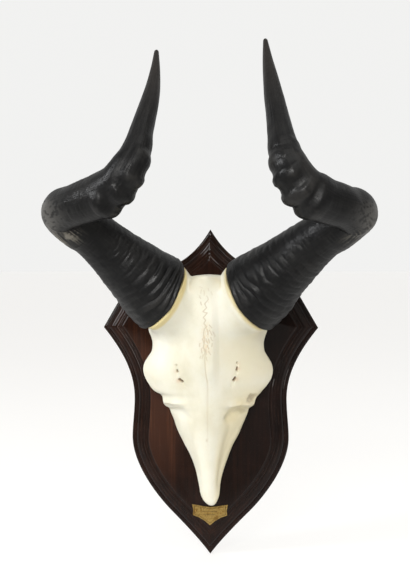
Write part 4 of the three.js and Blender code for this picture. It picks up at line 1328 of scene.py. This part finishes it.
brass, tree, shader, brass_place = new_material("tarnished_brass")
brush = stretched_noise(tree, brass_place, (90, 400, 2600), 3.0, 0.6)
tarnish = stretched_noise(tree, brass_place, (170, 170, 170), 5.0, 0.62, 0.3)
scribe_low, scribe_high = (plate_front + 0.06) * 0.001, (plate_front + 0.16) * 0.001
engraved = ranged(tree, axis_of(tree, brass_place, "Y"), scribe_low, scribe_high, 0.0, 0.8)
brass_colour = layered(
    tree,
    (0.30, 0.190, 0.052),
    [
        (ranged(tree, brush, 0.35, 0.65), (0.40, 0.275, 0.095)),
        (ranged(tree, tarnish, 0.46, 0.62, 0.0, 0.85), (0.17, 0.092, 0.022)),
        (engraved, (0.13, 0.085, 0.035)),
    ],
)
brass_roughness = ranged(tree, tarnish, 0.35, 0.7, 0.26, 0.48)
brass_relief = bump(tree, 0.08, 0.0003, brush)
connect(
    tree,
    shader,
    {"Base Color": brass_colour, "Metallic": 1.0, "Roughness": brass_roughness, "Normal": brass_relief},
)
finished(plate, brass)
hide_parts("name_plate")

# The two pins have domed heads, driven through the plate into the wood.
PIN_PROFILE = [
    (0.02, -0.62), (0.45, -0.58), (0.78, -0.42), (0.96, -0.18), (1.0, 0.0), (0.62, 0.02), (0.58, 7.2),
    (0.05, 7.9),
]
pin_brass, tree, shader, pin_place = new_material("pin_brass")
pin_tarnish = stretched_noise(tree, pin_place, (900, 900, 900), 3.0, 0.6)
pin_colour = blended(tree, ranged(tree, pin_tarnish, 0.4, 0.65), (0.46, 0.29, 0.08), (0.15, 0.085, 0.03))
pin_roughness = ranged(tree, pin_tarnish, 0.4, 0.7, 0.25, 0.45)
connect(tree, shader, {"Base Color": pin_colour, "Metallic": 1.0, "Roughness": pin_roughness})
for side, x in (("left", -PIN_X), ("right", PIN_X)):
    pin = new_piece("brass_pin_" + side, *turned(PIN_PROFILE, 28, (x, plate_front - 0.02, PIN_Z), FROM_FRONT))
    shaded(pin, 50)
    finished(pin, pin_brass)
    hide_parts("plate_pin_" + side)


# Behind, a zinc-plated keyhole plate is let into the wood near the top and held by two small
# countersunk screws, and two long screws go through the board into the skull.
steel, tree, shader, steel_place = new_material("zinc_plated_steel")
spangle = node_in(tree, "TexVoronoi", {"Vector": steel_place, "Scale": 260.0}).outputs["Color"]
spangle_grey = node_in(tree, "SeparateColor", {"Color": spangle}).outputs["Red"]
scuff = stretched_noise(tree, steel_place, (700, 700, 90), 3.0, 0.6)
steel_colour = layered(
    tree,
    (0.36, 0.37, 0.385),
    [(spangle_grey, (0.47, 0.48, 0.49)), (ranged(tree, scuff, 0.58, 0.72, 0.0, 0.5), (0.24, 0.235, 0.22))],
)
steel_roughness = ranged(tree, scuff, 0.35, 0.7, 0.30, 0.50)
connect(tree, shader, {"Base Color": steel_colour, "Metallic": 1.0, "Roughness": steel_roughness})

HANGER_HALF_WIDTH = 11
HANGER_HALF_HEIGHT = 24
HANGER_CORNER = 3.0
# Rounding of the plate's edges: place behind the board's back and how far the ring shrinks there.
HANGER_EDGE = [(-0.3, 0.4), (-0.6, 0.0), (-2.0, 0.0), (-2.3, 0.3)]
# The keyhole: a round for the nail's head, and above it a slot with a round end.
HEAD_HOLE = [(4.5, -2), (4.5, 4)]
SLOT_HALF = 2.2
SLOT_END = [(SLOT_HALF, -2), (SLOT_HALF, 4)]
COUNTERSINK = [(3.75, -1), (3.75, 0.32), (1.9, 2.1), (1.9, 4)]
hanger_outline = []
for cx, cz, start in ((1, 1, 0), (-1, 1, 90), (-1, -1, 180), (1, -1, 270)):
    for step in np.linspace(0, 90, 8):
        angle = math.radians(start + step)
        x = cx * (HANGER_HALF_WIDTH - HANGER_CORNER) + HANGER_CORNER * math.cos(angle)
        z = cz * (HANGER_HALF_HEIGHT - HANGER_CORNER) + HANGER_CORNER * math.sin(angle)
        hanger_outline.append((x, z))
hanger_outline = np.array(hanger_outline)
hanger_rings = []
for depth, shrink in HANGER_EDGE:
    ring = hanger_outline * (1 - shrink / np.linalg.norm(hanger_outline, axis=1))[:, None]
    hanger_rings.append(np.column_stack([ring[:, 0], np.full(len(ring), depth), HANGER_Z + ring[:, 1]]))
hanger = new_piece("keyhole_plate", *closed_loft(hanger_rings))
hanger_cuts = [
    turned(HEAD_HOLE, 40, (0, 0, HANGER_Z - 5), FROM_BEHIND),
    block((-SLOT_HALF, -4, HANGER_Z - 5), (SLOT_HALF, 2, HANGER_Z + 6)),
    turned(SLOT_END, 28, (0, 0, HANGER_Z + 6), FROM_BEHIND),
]
hanger_cuts += [turned(COUNTERSINK, 32, (0, 0, z), FROM_BEHIND) for z in HANGER_SCREW_Z]
cut_out(hanger, hanger_cuts)
shaded(hanger, 30)
finished(hanger, steel)
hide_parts("hanger_plate")


def wood_screw(name, node, z, head, shank, head_depth, length, pitch):
    """A countersunk screw with a slotted head and a cut thread, driven in from behind."""
    profile = [(0.05, 0.0), (head - 0.25, 0.0), (head, 0.22), (shank, head_depth)]
    depth = head_depth + 1.0
    while depth < length - 3.0:
        profile += [(shank * 0.78, depth), (shank, depth + 0.35 * pitch), (shank * 0.78, depth + 0.7 * pitch)]
        depth += pitch
    profile += [(shank * 0.7, length - 2.6), (0.05, length)]
    screw = new_piece(name, *turned(profile, 32, (0, -0.3, z), FROM_BEHIND))
    slot_low = (-head - 1, -0.3 - head_depth * 0.42, z - head * 0.14)
    cut_out(screw, [block(slot_low, (head + 1, 1, z + head * 0.14))])
    shaded(screw, 28)
    finished(screw, steel)
    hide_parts(node)


for place_name, z in zip(("upper", "lower"), HANGER_SCREW_Z):
    wood_screw("keyhole_screw_" + place_name, "hanger_screw_" + place_name, z, 3.4, 1.6, 1.8, 12, 1.3)
for place_name, z in zip(("upper", "lower"), SKULL_SCREW_Z):
    wood_screw("long_screw_" + place_name, "skull_screw_" + place_name, z, 5.0, 2.3, 2.8, 48, 2.2)


# The studio: a plain pale floor under the toe of the shield and soft daylight. A large soft light
# stands high on the left, and the room is darker on the right.
FLOOR_Z = -191.9
FLOOR_RADIUS = 30000
FLOOR_SIDES = 96
floor_turn = np.linspace(0, 2 * math.pi, FLOOR_SIDES, endpoint=False)
floor_points = [(0, 0, FLOOR_Z)]
floor_points += [(FLOOR_RADIUS * math.cos(t), FLOOR_RADIUS * math.sin(t), FLOOR_Z) for t in floor_turn]
floor_faces = [(0, k + 1, (k + 1) % FLOOR_SIDES + 1) for k in range(FLOOR_SIDES)]
floor = new_piece("floor", floor_points, floor_faces, body=None)
pale, tree, shader, floor_place = new_material("pale_floor")
floor_noise = stretched_noise(tree, floor_place, (3, 3, 3), 3.0)
floor_colour = blended(tree, floor_noise, (0.31, 0.308, 0.303), (0.33, 0.328, 0.323))
# The floor also glows, as painted light: strongly behind the shield, where it shows as even pale ground, and
# hardly at all in front.
connect(
    tree,
    shader,
    {
        "Base Color": floor_colour,
        "Roughness": 0.8,
        "Specular IOR Level": 0.1,
        "Emission Color": (1.0, 0.99, 0.97, 1),
        "Emission Strength": ranged(tree, axis_of(tree, floor_place, "Y"), -0.48, -0.12, 0.03, 0.72),
    },
)
finished(floor, pale)


# Each light's place, the point it is aimed at, its width and height, power and colour.
LIGHTS = {
    "window": ((-1.78, -1.1, 1.04), (0, -0.05, 0.08), (0.36, 0.95), 27, (0.97, 0.985, 1.0)),
    "room_light": ((-0.2, -2.5, 1.02), (0, -0.05, 0.05), (0.9, 0.6), 42, (1.0, 0.99, 0.965)),
    "pale_card": ((-0.267, -1.515, -0.043), (-0.08, 0, 0.06), (0.10, 0.14), 0.6, (1.0, 0.97, 0.95)),
    "ceiling": ((0.6, -1.2, 2.4), (0, -0.05, 0.05), (2.2, 2.2), 24, (1.0, 0.985, 0.95)),
    "far_wall": ((2.0, -1.6, 0.9), (0, -0.05, 0.05), (2.4, 2.4), 11, (1.0, 0.97, 0.91)),
}
for name, (place, target, (width, height), power, colour) in LIGHTS.items():
    data = bpy.data.lights.new(name, "AREA")
    data.shape = "RECTANGLE"
    data.size = width
    data.size_y = height
    data.energy = power
    data.color = colour
    light = bpy.data.objects.new(name, data)
    light.location = place
    light.rotation_mode = "QUATERNION"
    light.rotation_quaternion = (Vector(target) - Vector(place)).to_track_quat("-Z", "Y")
    scene.collection.objects.link(light)

world = bpy.data.worlds.new("soft_room")
world.use_nodes = True
room = world.node_tree
room.nodes.clear()
look = node_in(room, "TexCoord").outputs["Generated"]
behind = ranged(room, axis_of(room, look, "Y"), 0.10, 0.50)
leftward = ranged(room, axis_of(room, look, "X"), -0.8, 0.5, 1.0, 0.0)
front_tone = blended(room, leftward, (0.13, 0.128, 0.125), (0.34, 0.338, 0.335))
room_tone = blended(room, behind, front_tone, (0.885, 0.885, 0.875))
backdrop = node_in(room, "Background", {"Color": room_tone, "Strength": 1.0})
node_in(room, "OutputWorld", {"Surface": backdrop.outputs["Background"]})
scene.world = world
